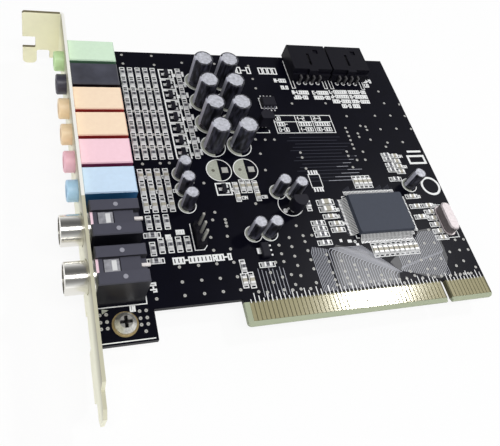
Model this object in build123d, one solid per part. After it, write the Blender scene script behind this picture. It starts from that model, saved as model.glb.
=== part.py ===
from build123d import *
import os

# A PCI sound card lying on its solder side, in millimetres.
# The origin is the middle of the key slot, at the lower edge of the contact tongue, on the component face.
# +X runs from the bracket to the far edge, +Y from the contacts to the top edge, +Z out of the component face.

# Card edge: 62 positions, two of them taken by the key
contact_pitch = 1.27
contact_width = 1.0
contact_length = 5.0
contact_thickness = 0.05
contact_lift = 1.2
contact_count_before_key = 49
contact_count_after_key = 11
key_position_count = 2
key_width = 1.9
key_height = 7.2
tongue_margin = 1.6
far_margin = 0.7
tongue_bevel = 0.45
tongue_bevel_height = 1.1
tongue_corner = 1.0

# Circuit board
board_thickness = 1.57
board_left = -104.9
board_top = 99.3
step_height = 7.5
tail_right = -89.4
tail_bottom = -0.6

# Bracket: folded steel with a screw tab, a tongue and a foot under the board
bracket_gap = 0.3
bracket_thickness = 0.86
bracket_below_board = 2.97
bracket_above_board = 13.88
bracket_length = 120.02
bend_radius = 0.25
tab_height = 100.9
tab_reach = 11.43
tab_corner = 0.8
tab_slot_width = 4.42
tab_slot_depth = 3.9
tab_slot_z = 2.1
tab_slot_corner = 0.4
finger_length = 4.3
finger_drop = 2.5
finger_end_radius = 1.6
relief_width = 4.0
relief_corner = 0.8
relief_rise = 3.4
tongue_length = 6.6
tongue_width = 10.2
tongue_z = 5.3
tongue_tip = 1.8
foot_width = 8.0
foot_reach = 12.4
foot_slit = 0.8
hole_clearance = 0.3

# Screw that ties the board to the foot
screw_x = -97.2
screw_y = 4.4
screw_radius = 1.45
screw_length = 3.4
screw_hole_clearance = 0.15
head_radius = 2.8
head_height = 2.0
cross_width = 0.9
cross_length = 3.2
cross_depth = 1.2

# Digital sockets, the lower pair behind the bracket
rca_low = 9.9
rca_width = 10.4
rca_gap = 2.8
rca_depth = 12.6
rca_height = 12.6
rca_axis = 6.5
rca_edge = 0.3
rca_groove_width = 4.0
rca_groove_depth = 0.9
rca_window_length = 4.0
rca_window_width = 3.2
rca_window_inset = 2.0
shell_radius = 4.15
shell_wall = 0.6
shell_reach = 5.6
shell_inside = 8.0
shell_rim = 0.25
flange_radius = 4.9
flange_thickness = 0.9
insulator_length = 5.5
insulator_setback = 5.0
pin_socket_radius = 1.95
pin_socket_bore = 1.65
pin_socket_setback = 1.5
slip_clearance = 0.05
rca_notch_length = 1.6
rca_notch_depth = 2.3
retainer_length = 2.2
retainer_width = 0.8
retainer_height = 0.6
retainer_overhang = 0.8

# Mini jacks, six in a row above the digital sockets
jack_colours = ("blue", "pink", "orange_lower", "orange_upper", "black", "green")
jack_row_gap = 2.5
jack_width = 8.4
jack_gap = 1.05
jack_depth = 14.0
jack_height = 11.5
jack_axis = 6.5
jack_edge = 0.3
jack_wall = 1.2
jack_seat = 0.15
jack_front_wall = 4.2
barrel_radius = 3.0
barrel_reach = 2.9
barrel_rim = 0.3
plug_bore = 1.8
chamber_above_axis = 3.2
spring_thickness = 0.3
spring_width = 1.8
spring_lip = 1.2
spring_steps = (0.6, 3.2, 5.8)

# Electrolytic capacitors: output pairs and small supply types
large_radius = 3.15
large_height = 11.0
large_first = (-62.3, 86.4)
large_pitch = (8.8, 9.15)
large_column_count = 2
large_row_count = 4
small_radius = 2.0
small_height = 7.4
small_places = (
    (-74.8, 48.8), (-74.8, 43.3), (-74.8, 37.8), (-56.9, 27.0),
    (-51.9, 27.0), (-45.2, 41.0), (-40.0, 39.9), (3.4, 41.3),
)
sleeve_edge = 0.35

# Internal audio connectors on the top edge
header_pin_centres = (-19.9, -4.2)
header_offset = 0.75
header_width = 15.0
header_height = 5.3
header_depth = 12.6
header_overhang = 1.1
header_wall = 0.75
header_cavity = 9.6
header_pin_count = 4
header_slot_width = 1.0
header_slot_length = 5.5
header_slot_offset = -0.35
header_window = 1.9
header_window_depth = 0.5
header_window_setback = 2.1
header_window_offset = 3.3
header_ledge = 0.9
header_ledge_drop = 2.0
header_rib = 3.4
pin_pitch = 2.54
pin_size = 0.64
pin_inside = 5.0
pin_setback = 1.5
pin_height = 2.9

# Three pin jumper header
jumper_x = -73.4
jumper_y = 27.4
jumper_pin_count = 3
jumper_base = 2.54
jumper_base_edge = 0.3
jumper_pin_height = 8.4

# Main chip, a 128 lead flat pack
chip_centre = (-13.25, 30.6)
chip_length = 20.0
chip_width = 14.0
chip_top = 2.6
chip_bottom = 0.3
chip_draft = 0.25
chip_corner = 0.5
chip_lead_count_x = 38
chip_lead_count_y = 26
chip_lead_pitch = 0.5
chip_lead_width = 0.22
chip_lead_reach = 1.95
chip_lead_foot = 0.8
chip_lead_rise = 1.2
lead_thickness = 0.15

# Amplifier, an eight lead package
amp_centre = (-38.6, 77.0)
amp_length = 4.9
amp_width = 3.9
amp_top = 1.6
amp_bottom = 0.15
amp_lead_count = 4
amp_lead_width = 0.42
amp_lead_reach = 1.05
amp_lead_foot = 0.5
amp_lead_rise = 0.75

# Muting transistors, three leads each
transistor_x = -72.4
transistor_top_y = 89.4
transistor_pitch = 4.68
transistor_count = 8
transistor_extra = (-62.4, 42.9)
transistor_length = 2.9
transistor_width = 1.3
transistor_top = 1.1
transistor_bottom = 0.1
transistor_lead_width = 0.42
transistor_lead_reach = 0.6
transistor_lead_foot = 0.3
transistor_lead_rise = 0.5
transistor_lead_spread = 1.9

# Standing regulator with a flat face, and a flat power regulator with a tab
stand_centre = (-43.4, 66.6)
stand_width = 4.6
stand_depth = 3.6
stand_height = 4.6
stand_lift = 1.6
stand_lead_size = 0.45
stand_lead_pitch = 1.27
flat_centre = (-55.0, 21.3)
flat_length = 4.5
flat_width = 2.5
flat_height = 1.5
flat_tab_length = 1.1
flat_tab_width = 1.8
flat_lead_count = 3
flat_lead_pitch = 1.5
flat_lead_width = 0.45
flat_lead_length = 1.0
flat_metal = 0.4

# Crystal in a low can
crystal_centre = (10.7, 26.9)
crystal_length = 10.2
crystal_width = 3.8
crystal_height = 3.7
crystal_flange = 0.45
crystal_flange_height = 0.5
crystal_edge = 0.4

# Chip resistors and chip capacitors, all of one body size
smd_length = 2.0
smd_width = 1.25
smd_height = 0.6
filter_first = (-86.9, 89.6)
filter_pitch = (2.54, 4.68)
filter_column_count = 5
filter_row_count = 8
feed_x = -68.1
jack_side_first = (-86.9, 48.6)
jack_side_pitch = (2.54, 5.1)
jack_side_column_count = 4
jack_side_row_count = 3
decoupling_y = 18.6
decoupling_first = -19.2
decoupling_pitch = 1.85
decoupling_count = 9
clock_x = 7.0
clock_first = 33.0
clock_pitch = 2.4
clock_count = 6
upright_resistors = (
    (-86.9, 32.8), (-84.4, 32.8), (-81.8, 32.8), (-87.0, 24.6), (-84.5, 25.4),
    (-82.0, 25.4), (-79.5, 25.4), (-77.0, 25.4), (-62.6, 17.0), (-36.3, 36.0),
)
upright_capacitors = (
    (-58.5, 43.4), (-58.5, 40.0), (-56.2, 43.6), (-54.2, 43.6), (-52.0, 43.6), (-52.0, 40.0),
    (-63.2, 12.8), (-61.0, 12.8), (-16.6, 43.4), (-14.9, 43.4), (-13.2, 43.4), (-11.5, 43.4),
)
level_resistors = (
    (-86.6, 28.8), (-86.8, 20.9), (-55.3, 17.0), (-35.0, 29.2), (-35.0, 27.2), (-35.0, 25.2),
    (-35.0, 22.4), (-0.7, 53.9), (-0.7, 52.1), (-0.7, 49.7), (-0.7, 47.6), (-0.9, 43.9),
)
level_capacitors = (
    (-30.2, 31.2), (-29.0, 28.6), (-29.0, 26.4), (2.5, 53.4), (2.5, 51.2), (2.5, 49.0),
    (2.5, 46.8), (2.4, 36.8), (2.4, 33.0), (2.4, 29.0),
)
bulk_length = 3.2
bulk_width = 1.6
bulk_height = 0.9
bulk_capacitors = ((-30.2, 36.3), (-30.2, 33.8))

# Places that follow from the sizes above
solder_face = -board_thickness
key_half_span = (key_position_count + 1) / 2 * contact_pitch
contact_half = contact_width / 2
tongue_left = -key_half_span - (contact_count_before_key - 1) * contact_pitch - contact_half - tongue_margin
board_right = key_half_span + (contact_count_after_key - 1) * contact_pitch + contact_half + far_margin
bracket_inner = board_left - bracket_gap
bracket_outer = bracket_inner - bracket_thickness
bracket_low = solder_face - bracket_below_board
bracket_bottom = tab_height - bracket_length
tab_under = tab_height - bracket_thickness
tab_end = bracket_outer - tab_reach
rca_front = bracket_inner + flange_thickness
rca_back = rca_front + rca_depth
rca_centres = [rca_low + rca_width / 2 + i * (rca_width + rca_gap) for i in range(2)]
rca_names = ("lower", "upper")
jack_low = rca_centres[-1] + rca_width / 2 + jack_row_gap
jack_front = bracket_inner + jack_seat
jack_back = jack_front + jack_depth
barrel_end = bracket_outer - barrel_reach
jack_centres = [jack_low + jack_width / 2 + i * (jack_width + jack_gap) for i in range(len(jack_colours))]
header_front = board_top + header_overhang
header_rear = header_front - header_depth


def block(x0, x1, y0, y1, z0, z1):
    """A box between two opposite corners."""
    return Pos((x0 + x1) / 2, (y0 + y1) / 2, (z0 + z1) / 2) * Box(x1 - x0, y1 - y0, z1 - z0)


def rod(x0, x1, y, z, radius):
    """A round bar along X."""
    return Pos((x0 + x1) / 2, y, z) * Rot(0, 90, 0) * Cylinder(radius, x1 - x0)


def turned_about_x(points, y, z):
    """A solid turned from a profile of (x, radius) points, on an axis along X."""
    profile = make_face(Polyline(*points, close=True))
    return Pos(0, y, z) * revolve(profile, Axis.X)


def turned_about_z(points, x, y):
    """A solid turned from a profile of (radius, z) points, on an axis along Z."""
    profile = Plane.XZ * make_face(Polyline(*points, close=True))
    return Pos(x, y, 0) * revolve(profile, Axis.Z)


def save(name, *solids):
    """Write one node, a single solid or a group of separate ones."""
    shape = solids[0] if len(solids) == 1 else Compound(children=list(solids))
    export_step(shape, f"parts/{name}.step")


def contact_places():
    """X of each contact along the card edge, left of the key and then right of it."""
    left = [-key_half_span - i * contact_pitch for i in range(contact_count_before_key)]
    right = [key_half_span + i * contact_pitch for i in range(contact_count_after_key)]
    return left + right


def circuit_board():
    outline = Polyline(
        (board_left, tail_bottom), (tail_right, tail_bottom), (tail_right, step_height),
        (tongue_left, step_height), (tongue_left, 0), (board_right, 0),
        (board_right, board_top), (board_left, board_top), close=True,
    )
    face = make_face(outline)
    tongue_corners = [v for v in face.vertices() if abs(v.Y) < tongue_corner and v.X > tail_right]
    face = fillet(tongue_corners, tongue_corner)
    board = extrude(face, amount=-board_thickness)
    slot_round = key_width / 2
    board -= block(-slot_round, slot_round, -1, key_height - slot_round, solder_face, 0)
    board -= Pos(0, key_height - slot_round, solder_face / 2) * Cylinder(slot_round, board_thickness)
    board -= Pos(screw_x, screw_y, solder_face / 2) * Cylinder(
        screw_radius + screw_hole_clearance, board_thickness
    )
    for z, inward in ((0, -1), (solder_face, 1)):
        wedge = Polyline((0, z), (tongue_bevel_height, z), (0, z + inward * tongue_bevel), close=True)
        bevel = extrude(Plane.YZ * make_face(wedge), amount=board_right - tongue_left)
        board -= Pos(tongue_left, 0, 0) * bevel
    return board


def edge_contacts(z):
    """One row of gold contacts, with their lower face at height z."""
    low = contact_lift
    high = contact_lift + contact_length
    return [
        block(x - contact_half, x + contact_half, low, high, z, z + contact_thickness)
        for x in contact_places()
    ]


def bracket_sheet():
    """The sheet seen along Z: a long wall and the tab folded outwards at its upper end."""
    wall = make_face(Polyline(
        (bracket_inner, bracket_bottom), (bracket_inner, tab_height), (tab_end, tab_height),
        (tab_end, tab_under), (bracket_outer, tab_under), (bracket_outer, bracket_bottom), close=True,
    ))
    outside = wall.vertices().sort_by_distance((bracket_inner, tab_height, 0))[0]
    wall = fillet(outside, bend_radius + bracket_thickness)
    inside = wall.vertices().sort_by_distance((bracket_outer, tab_under, 0))[0]
    return fillet(inside, bend_radius)


def tab_cutter():
    """What is cut from the tab, seen along Y: the screw slot, and the relief beside the finger."""
    finger_low = bracket_low - finger_drop
    slot_end = tab_end + tab_slot_depth
    slot = Pos((tab_end + slot_end) / 2, tab_slot_z) * Rectangle(tab_slot_depth, tab_slot_width)
    slot = fillet(slot.vertices().group_by(Axis.X)[-1], tab_slot_corner)
    finger_inner = tab_end + finger_length
    relief_top = bracket_low + relief_rise
    relief = make_face(Polyline(
        (finger_inner, finger_low), (finger_inner, relief_top), (finger_inner + relief_width, relief_top),
        (finger_inner + relief_width, bracket_low), (bracket_inner, bracket_low),
        (bracket_inner, finger_low), close=True,
    ))
    relief = fillet(relief.vertices().group_by(Axis.Y)[-1], relief_corner)
    cutter = extrude(Plane.XZ * (slot + relief), amount=bracket_thickness * 2, both=True)
    return Pos(0, tab_height, 0) * cutter


def bracket_foot():
    """The foot under the board, folded from the wall between two slits."""
    under = solder_face - bracket_thickness
    slit_top = solder_face + bracket_thickness
    section = make_face(Polyline(
        (bracket_outer, slit_top), (bracket_inner, slit_top), (bracket_inner, solder_face),
        (bracket_inner + foot_reach, solder_face), (bracket_inner + foot_reach, under),
        (bracket_outer, under), close=True,
    ))
    corner = section.vertices().sort_by_distance((bracket_outer, under, 0))[0]
    section = fillet(corner, bend_radius + bracket_thickness)
    crease = section.vertices().sort_by_distance((bracket_inner, solder_face, 0))[0]
    section = fillet(crease, bend_radius)
    foot = Pos(0, screw_y, 0) * extrude(Plane.XZ * section, amount=foot_width / 2, both=True)
    far_edges = foot.edges().filter_by(Axis.Z).group_by(Axis.X)[-1]
    return fillet(far_edges, foot_width / 4)


def bracket():
    finger_low = bracket_low - finger_drop
    sheet = extrude(bracket_sheet(), amount=bracket_above_board - finger_low)
    plate = Pos(0, 0, finger_low) * sheet
    wall_top = tab_under - bend_radius
    plate -= block(bracket_outer, bracket_inner, bracket_bottom, wall_top, finger_low, bracket_low)
    plate -= tab_cutter()
    finger_edges = plate.edges().filter_by(Axis.Y).group_by(Axis.Z)[0]
    plate = fillet(finger_edges, finger_end_radius)
    upper_edge = plate.edges().filter_by(Axis.Y).filter_by_position(Axis.X, tab_end - 0.01, tab_end + 0.01)
    plate = fillet(upper_edge.sort_by(Axis.Z)[-1], tab_corner)
    shoulder = bracket_bottom + tongue_length
    for side, edge in ((1, bracket_above_board), (-1, bracket_low)):
        tongue_edge = tongue_z + side * tongue_width / 2
        trim = make_face(Polyline(
            (shoulder, edge), (shoulder - abs(edge - tongue_edge) / 4, tongue_edge),
            (bracket_bottom + tongue_tip, tongue_edge), (bracket_bottom, tongue_edge - side * tongue_tip),
            (bracket_bottom - 1, tongue_edge - side * tongue_tip), (bracket_bottom - 1, edge), close=True,
        ))
        cutter = extrude(Plane.YZ * trim, amount=bracket_thickness)
        plate -= Pos(bracket_outer, 0, 0) * cutter
    for y in jack_centres:
        plate -= rod(bracket_outer, bracket_inner, y, jack_axis, barrel_radius + hole_clearance)
    for y in rca_centres:
        plate -= rod(bracket_outer, bracket_inner, y, rca_axis, shell_radius + hole_clearance)
    slit_half = foot_width / 2 + foot_slit
    slit_top = solder_face + bracket_thickness
    plate -= block(
        bracket_outer, bracket_inner, screw_y - slit_half, screw_y + slit_half, bracket_low, slit_top
    )
    plate += bracket_foot()
    hole = Cylinder(screw_radius + slip_clearance, bracket_thickness)
    return plate - Pos(screw_x, screw_y, solder_face - bracket_thickness / 2) * hole


def bracket_screw():
    """A pan head with a cross recess, on a plain shank."""
    crown = head_height * 0.45
    screw = turned_about_z((
        (0, -screw_length), (screw_radius, -screw_length), (screw_radius, 0), (head_radius, 0),
        (head_radius, crown), (head_radius * 0.6, head_height), (0, head_height),
    ), screw_x, screw_y)
    for turn in (0, 90):
        arm = Pos(0, 0, head_height - cross_depth / 2) * Box(cross_length, cross_width, cross_depth)
        screw -= Pos(screw_x, screw_y, 0) * Rot(0, 0, turn) * arm
    return screw


def mini_jack(y):
    """One moulded jack: a box with a barrel through the bracket, a plug bore and a chamber below."""
    half = jack_width / 2
    body = block(jack_front, jack_back, y - half, y + half, 0, jack_height)
    body = chamfer(body.edges().group_by(Axis.Z)[-1], jack_edge)
    barrel = turned_about_x((
        (barrel_end, 0), (barrel_end, barrel_radius - barrel_rim), (barrel_end + barrel_rim, barrel_radius),
        (jack_front, barrel_radius), (jack_front, 0),
    ), y, jack_axis)
    chamber_front = jack_front + jack_front_wall
    inner = half - jack_wall
    chamber_top = jack_axis + chamber_above_axis
    chamber = block(chamber_front, jack_back - jack_wall, y - inner, y + inner, 0, chamber_top)
    bore = rod(barrel_end, chamber_front, y, jack_axis, plug_bore)
    return body + barrel - bore - chamber


def jack_springs(y):
    """Tip, ring and sleeve springs: strips that stand on the board and lean to the plug's path."""
    reach = jack_axis - plug_bore - spring_lip
    springs = []
    for step in spring_steps:
        x = jack_front + jack_front_wall + step
        strip = make_face(Polyline(
            (x, 0), (x + spring_thickness, 0), (x + spring_thickness, reach - spring_thickness),
            (x + spring_lip, reach + spring_lip - spring_thickness),
            (x + spring_lip, reach + spring_lip), (x, reach), close=True,
        ))
        springs.append(Pos(0, y, 0) * extrude(Plane.XZ * strip, amount=spring_width / 2, both=True))
    return springs


def rca_housing(y):
    """The black block of a digital socket, with a top channel, a window and the shell's seat."""
    half = rca_width / 2
    body = block(rca_front, rca_back, y - half, y + half, 0, rca_height)
    body = chamfer(body.edges().group_by(Axis.Z)[-1], rca_edge)
    groove_floor = rca_height - rca_groove_depth
    groove = rca_groove_width / 2
    body -= block(rca_front, rca_back, y - groove, y + groove, groove_floor, rca_height)
    notch_front = rca_back - rca_notch_length
    notch_floor = rca_height - rca_notch_depth
    body -= block(notch_front, rca_back, y - groove, y + groove, notch_floor, groove_floor)
    window = rca_window_width / 2
    window_front = rca_front + rca_window_inset
    body -= block(
        window_front, window_front + rca_window_length, y - window, y + window, rca_axis, groove_floor
    )
    seat_end = rca_front + shell_inside + slip_clearance
    return body - rod(rca_front, seat_end, y, rca_axis, shell_radius + slip_clearance)


def rca_shell(y):
    """The nickel sleeve that the plug grips, with a rolled mouth and a flange behind the bracket."""
    mouth = bracket_outer - shell_reach
    bore = shell_radius - shell_wall
    flange_front = bracket_inner + slip_clearance
    return turned_about_x((
        (mouth, bore), (mouth, shell_radius - shell_rim), (mouth + shell_rim, shell_radius),
        (flange_front, shell_radius), (flange_front, flange_radius), (rca_front, flange_radius),
        (rca_front, shell_radius), (rca_front + shell_inside, shell_radius), (rca_front + shell_inside, bore),
    ), y, rca_axis)


def rca_insulator(y):
    """The white ring between the sleeve and the middle contact."""
    front = bracket_outer - shell_reach + insulator_setback
    outer = shell_radius - shell_wall - slip_clearance
    inner = pin_socket_radius + slip_clearance
    return turned_about_x((
        (front, inner), (front, outer), (front + insulator_length, outer), (front + insulator_length, inner),
    ), y, rca_axis)


def rca_pin_socket(y):
    """The middle contact, a tube that takes the plug's pin and is closed at the back."""
    mouth = bracket_outer - shell_reach + pin_socket_setback
    floor = rca_front + shell_inside - pin_socket_radius
    back = rca_front + shell_inside
    return turned_about_x((
        (mouth, pin_socket_bore), (mouth, pin_socket_radius), (back, pin_socket_radius), (back, 0),
        (floor, 0), (floor, pin_socket_bore),
    ), y, rca_axis)


def rca_retainer(y):
    """The white clip that lies in the notch at the back of a digital socket and stands out behind it."""
    half = retainer_width / 2
    floor = rca_height - rca_notch_depth
    back = rca_back + retainer_overhang
    return block(back - retainer_length, back, y - half, y + half, floor, floor + retainer_height)


def large_capacitor(x, y):
    """A sleeved can with the sleeve rolled in over its upper edge."""
    return turned_about_z((
        (0, 0), (large_radius, 0), (large_radius, large_height - sleeve_edge),
        (large_radius - sleeve_edge, large_height), (0, large_height),
    ), x, y)


def small_capacitor(x, y):
    return Pos(x, y, small_height / 2) * Cylinder(small_radius, small_height)


def header_pin_places(middle):
    return [middle + (i - (header_pin_count - 1) / 2) * pin_pitch for i in range(header_pin_count)]


def audio_header(middle):
    """A connector body that hangs over the top edge, open at the front, with a slit for the latch."""
    centre = middle + header_offset
    half = header_width / 2
    inner = half - header_wall
    rib = header_rib / 2
    ceiling = header_height - header_wall
    cavity_floor = header_front - header_cavity
    ledge_front = header_rear + header_ledge
    ledge_top = header_height - header_ledge_drop
    body = block(centre - half, centre + half, header_rear, header_front, 0, header_height)
    for x0, x1 in ((centre - half, centre - rib), (centre + rib, centre + half)):
        body -= block(x0, x1, header_rear, ledge_front, ledge_top, header_height)
    body -= block(centre - inner, centre + inner, cavity_floor, header_front, header_wall, ceiling)
    slot = header_slot_width / 2
    slot_x = centre + header_slot_offset
    slot_end = cavity_floor + header_slot_length
    body -= block(slot_x - slot, slot_x + slot, cavity_floor, slot_end, ceiling, header_height)
    window = header_window / 2
    window_x = centre + header_window_offset
    window_y = header_front - header_window_setback
    body -= block(
        window_x - window, window_x + window, window_y - header_window, window_y,
        header_height - header_window_depth, header_height,
    )
    pin_half = pin_size / 2
    for x in header_pin_places(middle):
        body -= block(
            x - pin_half, x + pin_half, header_rear, cavity_floor, pin_height - pin_half, pin_height + pin_half
        )
    return body


def header_pin(x):
    """A square pin that leaves the rear wall and turns down to the board."""
    half = pin_size / 2
    tip = header_front - header_cavity + pin_inside
    tail = header_rear - pin_setback
    level = block(x - half, x + half, tail, tip, pin_height - half, pin_height + half)
    return level + block(x - half, x + half, tail, tail + pin_size, 0, pin_height)


def jumper_pin_places():
    return [jumper_y + (i - (jumper_pin_count - 1) / 2) * pin_pitch for i in range(jumper_pin_count)]


def jumper_block():
    half = jumper_base / 2
    length = jumper_pin_count * pin_pitch / 2
    base = block(jumper_x - half, jumper_x + half, jumper_y - length, jumper_y + length, 0, jumper_base)
    base = chamfer(base.edges().filter_by(Axis.Z), jumper_base_edge)
    pin_half = pin_size / 2
    for y in jumper_pin_places():
        base -= block(
            jumper_x - pin_half, jumper_x + pin_half, y - pin_half, y + pin_half, 0, jumper_base
        )
    return base


def jumper_pin(y):
    half = pin_size / 2
    return block(jumper_x - half, jumper_x + half, y - half, y + half, 0, jumper_pin_height)


def gull_lead(rise, reach, foot, width):
    """A lead that leaves a body at X = 0, slopes down to the board and ends in a flat foot."""
    knee = reach - foot
    profile = Polyline(
        (0, rise), (knee, 0), (reach, 0), (knee + lead_thickness, lead_thickness),
        (0, rise + lead_thickness), close=True,
    )
    return extrude(Plane.XZ * make_face(profile), amount=width / 2, both=True)


def chip_body():
    """The flat pack's moulding: two drafted halves that meet at the lead frame."""
    middle = chip_lead_rise + lead_thickness / 2
    centre = Pos(chip_centre[0], chip_centre[1])
    wide = RectangleRounded(chip_length, chip_width, chip_corner)
    narrow = RectangleRounded(chip_length - 2 * chip_draft, chip_width - 2 * chip_draft, chip_corner)
    upper = loft([Plane.XY.offset(middle) * centre * wide, Plane.XY.offset(chip_top) * centre * narrow])
    lower = loft([Plane.XY.offset(chip_bottom) * centre * narrow, Plane.XY.offset(middle) * centre * wide])
    return upper + lower


def chip_leads():
    lead = gull_lead(chip_lead_rise, chip_lead_reach, chip_lead_foot, chip_lead_width)
    leads = []
    sides = (
        (0, chip_length / 2, chip_lead_count_y), (90, chip_width / 2, chip_lead_count_x),
        (180, chip_length / 2, chip_lead_count_y), (270, chip_width / 2, chip_lead_count_x),
    )
    for turn, distance, count in sides:
        for i in range(count):
            along = (i - (count - 1) / 2) * chip_lead_pitch
            place = Pos(*chip_centre) * Rot(0, 0, turn) * Pos(distance, along, 0)
            leads.append(place * lead)
    return leads


def amp_body():
    x, y = amp_centre
    length = amp_length / 2
    width = amp_width / 2
    body = block(x - length, x + length, y - width, y + width, amp_bottom, amp_top)
    return chamfer(body.edges().group_by(Axis.Z)[-1], chip_draft)


def amp_lead_row():
    lead = gull_lead(amp_lead_rise, amp_lead_reach, amp_lead_foot, amp_lead_width)
    places = [(i - (amp_lead_count - 1) / 2) * contact_pitch for i in range(amp_lead_count)]
    return [
        Pos(*amp_centre) * Rot(0, 0, turn) * Pos(amp_width / 2, along, 0) * lead
        for turn in (90, 270) for along in places
    ]


def transistor_places():
    column = [(transistor_x, transistor_top_y - i * transistor_pitch) for i in range(transistor_count)]
    return column + [transistor_extra]


def transistor_body(x, y):
    half = transistor_width / 2
    length = transistor_length / 2
    body = block(x - half, x + half, y - length, y + length, transistor_bottom, transistor_top)
    return chamfer(body.edges().group_by(Axis.Z)[-1], transistor_bottom)


def transistor_leads(x, y):
    """One lead on the jack side, two on the other."""
    lead = gull_lead(
        transistor_lead_rise, transistor_lead_reach, transistor_lead_foot, transistor_lead_width
    )
    half = transistor_width / 2
    spread = transistor_lead_spread / 2
    sides = ((180, 0), (0, spread), (0, -spread))
    return [Pos(x, y) * Rot(0, 0, turn) * Pos(half, along, 0) * lead for turn, along in sides]


def standing_regulator():
    """A half round case with its flat face towards the contacts."""
    x, y = stand_centre
    round_part = Circle(stand_width / 2)
    cut = stand_width - stand_depth
    flat = Pos(0, -stand_width / 2 + cut / 2) * Rectangle(stand_width, cut)
    return Pos(x, y, stand_lift) * extrude(round_part - flat, amount=stand_height)


def standing_leads():
    x, y = stand_centre
    half = stand_lead_size / 2
    places = (x - stand_lead_pitch, x, x + stand_lead_pitch)
    return [block(p - half, p + half, y - half, y + half, 0, stand_lift) for p in places]


def flat_regulator():
    x, y = flat_centre
    half = flat_width / 2
    length = flat_length / 2
    body = block(x - half, x + half, y - length, y + length, 0, flat_height)
    return chamfer(body.edges().group_by(Axis.Z)[-1], chip_draft)


def flat_regulator_metal():
    """The heat tab towards the jacks and three straight leads on the other side."""
    x, y = flat_centre
    half = flat_width / 2
    tab = flat_tab_width / 2
    metal = [block(x - half - flat_tab_length, x - half, y - tab, y + tab, 0, flat_metal)]
    lead = flat_lead_width / 2
    for i in range(flat_lead_count):
        at = y + (i - (flat_lead_count - 1) / 2) * flat_lead_pitch
        metal.append(block(x + half, x + half + flat_lead_length, at - lead, at + lead, 0, flat_metal))
    return metal


def crystal_can():
    """A drawn can with round ends on a wider sealed flange."""
    x, y = crystal_centre
    centre_line = crystal_length - crystal_width
    wall = Pos(x, y) * Rot(0, 0, 90) * SlotCenterToCenter(centre_line, crystal_width)
    base = Pos(x, y) * Rot(0, 0, 90) * SlotCenterToCenter(centre_line, crystal_width + 2 * crystal_flange)
    can = extrude(wall, amount=crystal_height) + extrude(base, amount=crystal_flange_height)
    return chamfer(can.edges().group_by(Axis.Z)[-1], crystal_edge)


def smd(x, y, upright):
    """One chip part on the board, its long side along Y when upright."""
    half_x = (smd_width if upright else smd_length) / 2
    half_y = (smd_length if upright else smd_width) / 2
    return block(x - half_x, x + half_x, y - half_y, y + half_y, 0, smd_height)


def bulk_capacitor(x, y):
    """A larger chip capacitor, its long side along X."""
    half_x = bulk_length / 2
    half_y = bulk_width / 2
    return block(x - half_x, x + half_x, y - half_y, y + half_y, 0, bulk_height)


def smd_grid(first, pitch, columns, rows):
    return [(first[0] + i * pitch[0], first[1] - j * pitch[1]) for i in range(columns) for j in range(rows)]


def chip_resistors():
    upright = smd_grid(filter_first, filter_pitch, filter_column_count, filter_row_count)
    upright += smd_grid((feed_x, filter_first[1]), filter_pitch, 1, filter_row_count)
    upright += upright_resistors
    return [smd(x, y, True) for x, y in upright] + [smd(x, y, False) for x, y in level_resistors]


def chip_capacitors():
    upright = smd_grid(jack_side_first, jack_side_pitch, jack_side_column_count, jack_side_row_count)
    upright += [(decoupling_first + i * decoupling_pitch, decoupling_y) for i in range(decoupling_count)]
    upright += upright_capacitors
    level = [(clock_x, clock_first - i * clock_pitch) for i in range(clock_count)]
    level += level_capacitors
    bulk = [bulk_capacitor(x, y) for x, y in bulk_capacitors]
    return [smd(x, y, True) for x, y in upright] + [smd(x, y, False) for x, y in level] + bulk


os.makedirs("parts", exist_ok=True)

save("circuit_board", circuit_board())
save("contacts_component_side", *edge_contacts(0))
save("contacts_solder_side", *edge_contacts(solder_face - contact_thickness))
save("bracket", bracket())
save("bracket_screw", bracket_screw())

for colour, y in zip(jack_colours, jack_centres):
    save(f"mini_jack_{colour}", mini_jack(y))
save("jack_springs", *[spring for y in jack_centres for spring in jack_springs(y)])

for name, y in zip(rca_names, rca_centres):
    save(f"digital_socket_{name}", rca_housing(y))
    save(f"digital_shell_{name}", rca_shell(y))
    save(f"digital_insulator_{name}", rca_insulator(y))
    save(f"digital_contact_{name}", rca_pin_socket(y))
save("digital_retainers", *[rca_retainer(y) for y in rca_centres])

large_places = smd_grid(large_first, large_pitch, large_column_count, large_row_count)
for number, (x, y) in enumerate(large_places, 1):
    save(f"output_capacitor_{number}", large_capacitor(x, y))
for number, (x, y) in enumerate(small_places, 1):
    save(f"supply_capacitor_{number}", small_capacitor(x, y))

for number, middle in enumerate(header_pin_centres, 1):
    save(f"audio_connector_{number}", audio_header(middle))
    save(f"audio_connector_pins_{number}", *[header_pin(x) for x in header_pin_places(middle)])
save("jumper_block", jumper_block())
save("jumper_pins", *[jumper_pin(y) for y in jumper_pin_places()])

save("main_chip", chip_body())
save("main_chip_leads", *chip_leads())
save("amplifier", amp_body())
save("amplifier_leads", *amp_lead_row())
save("transistors", *[transistor_body(x, y) for x, y in transistor_places()])
save("transistor_leads", *[lead for x, y in transistor_places() for lead in transistor_leads(x, y)])
save("standing_regulator", standing_regulator())
save("standing_regulator_leads", *standing_leads())
save("flat_regulator", flat_regulator())
save("flat_regulator_metal", *flat_regulator_metal())
save("crystal_can", crystal_can())
save("chip_resistors", *chip_resistors())
save("chip_capacitors", *chip_capacitors())
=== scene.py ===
import math

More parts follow.
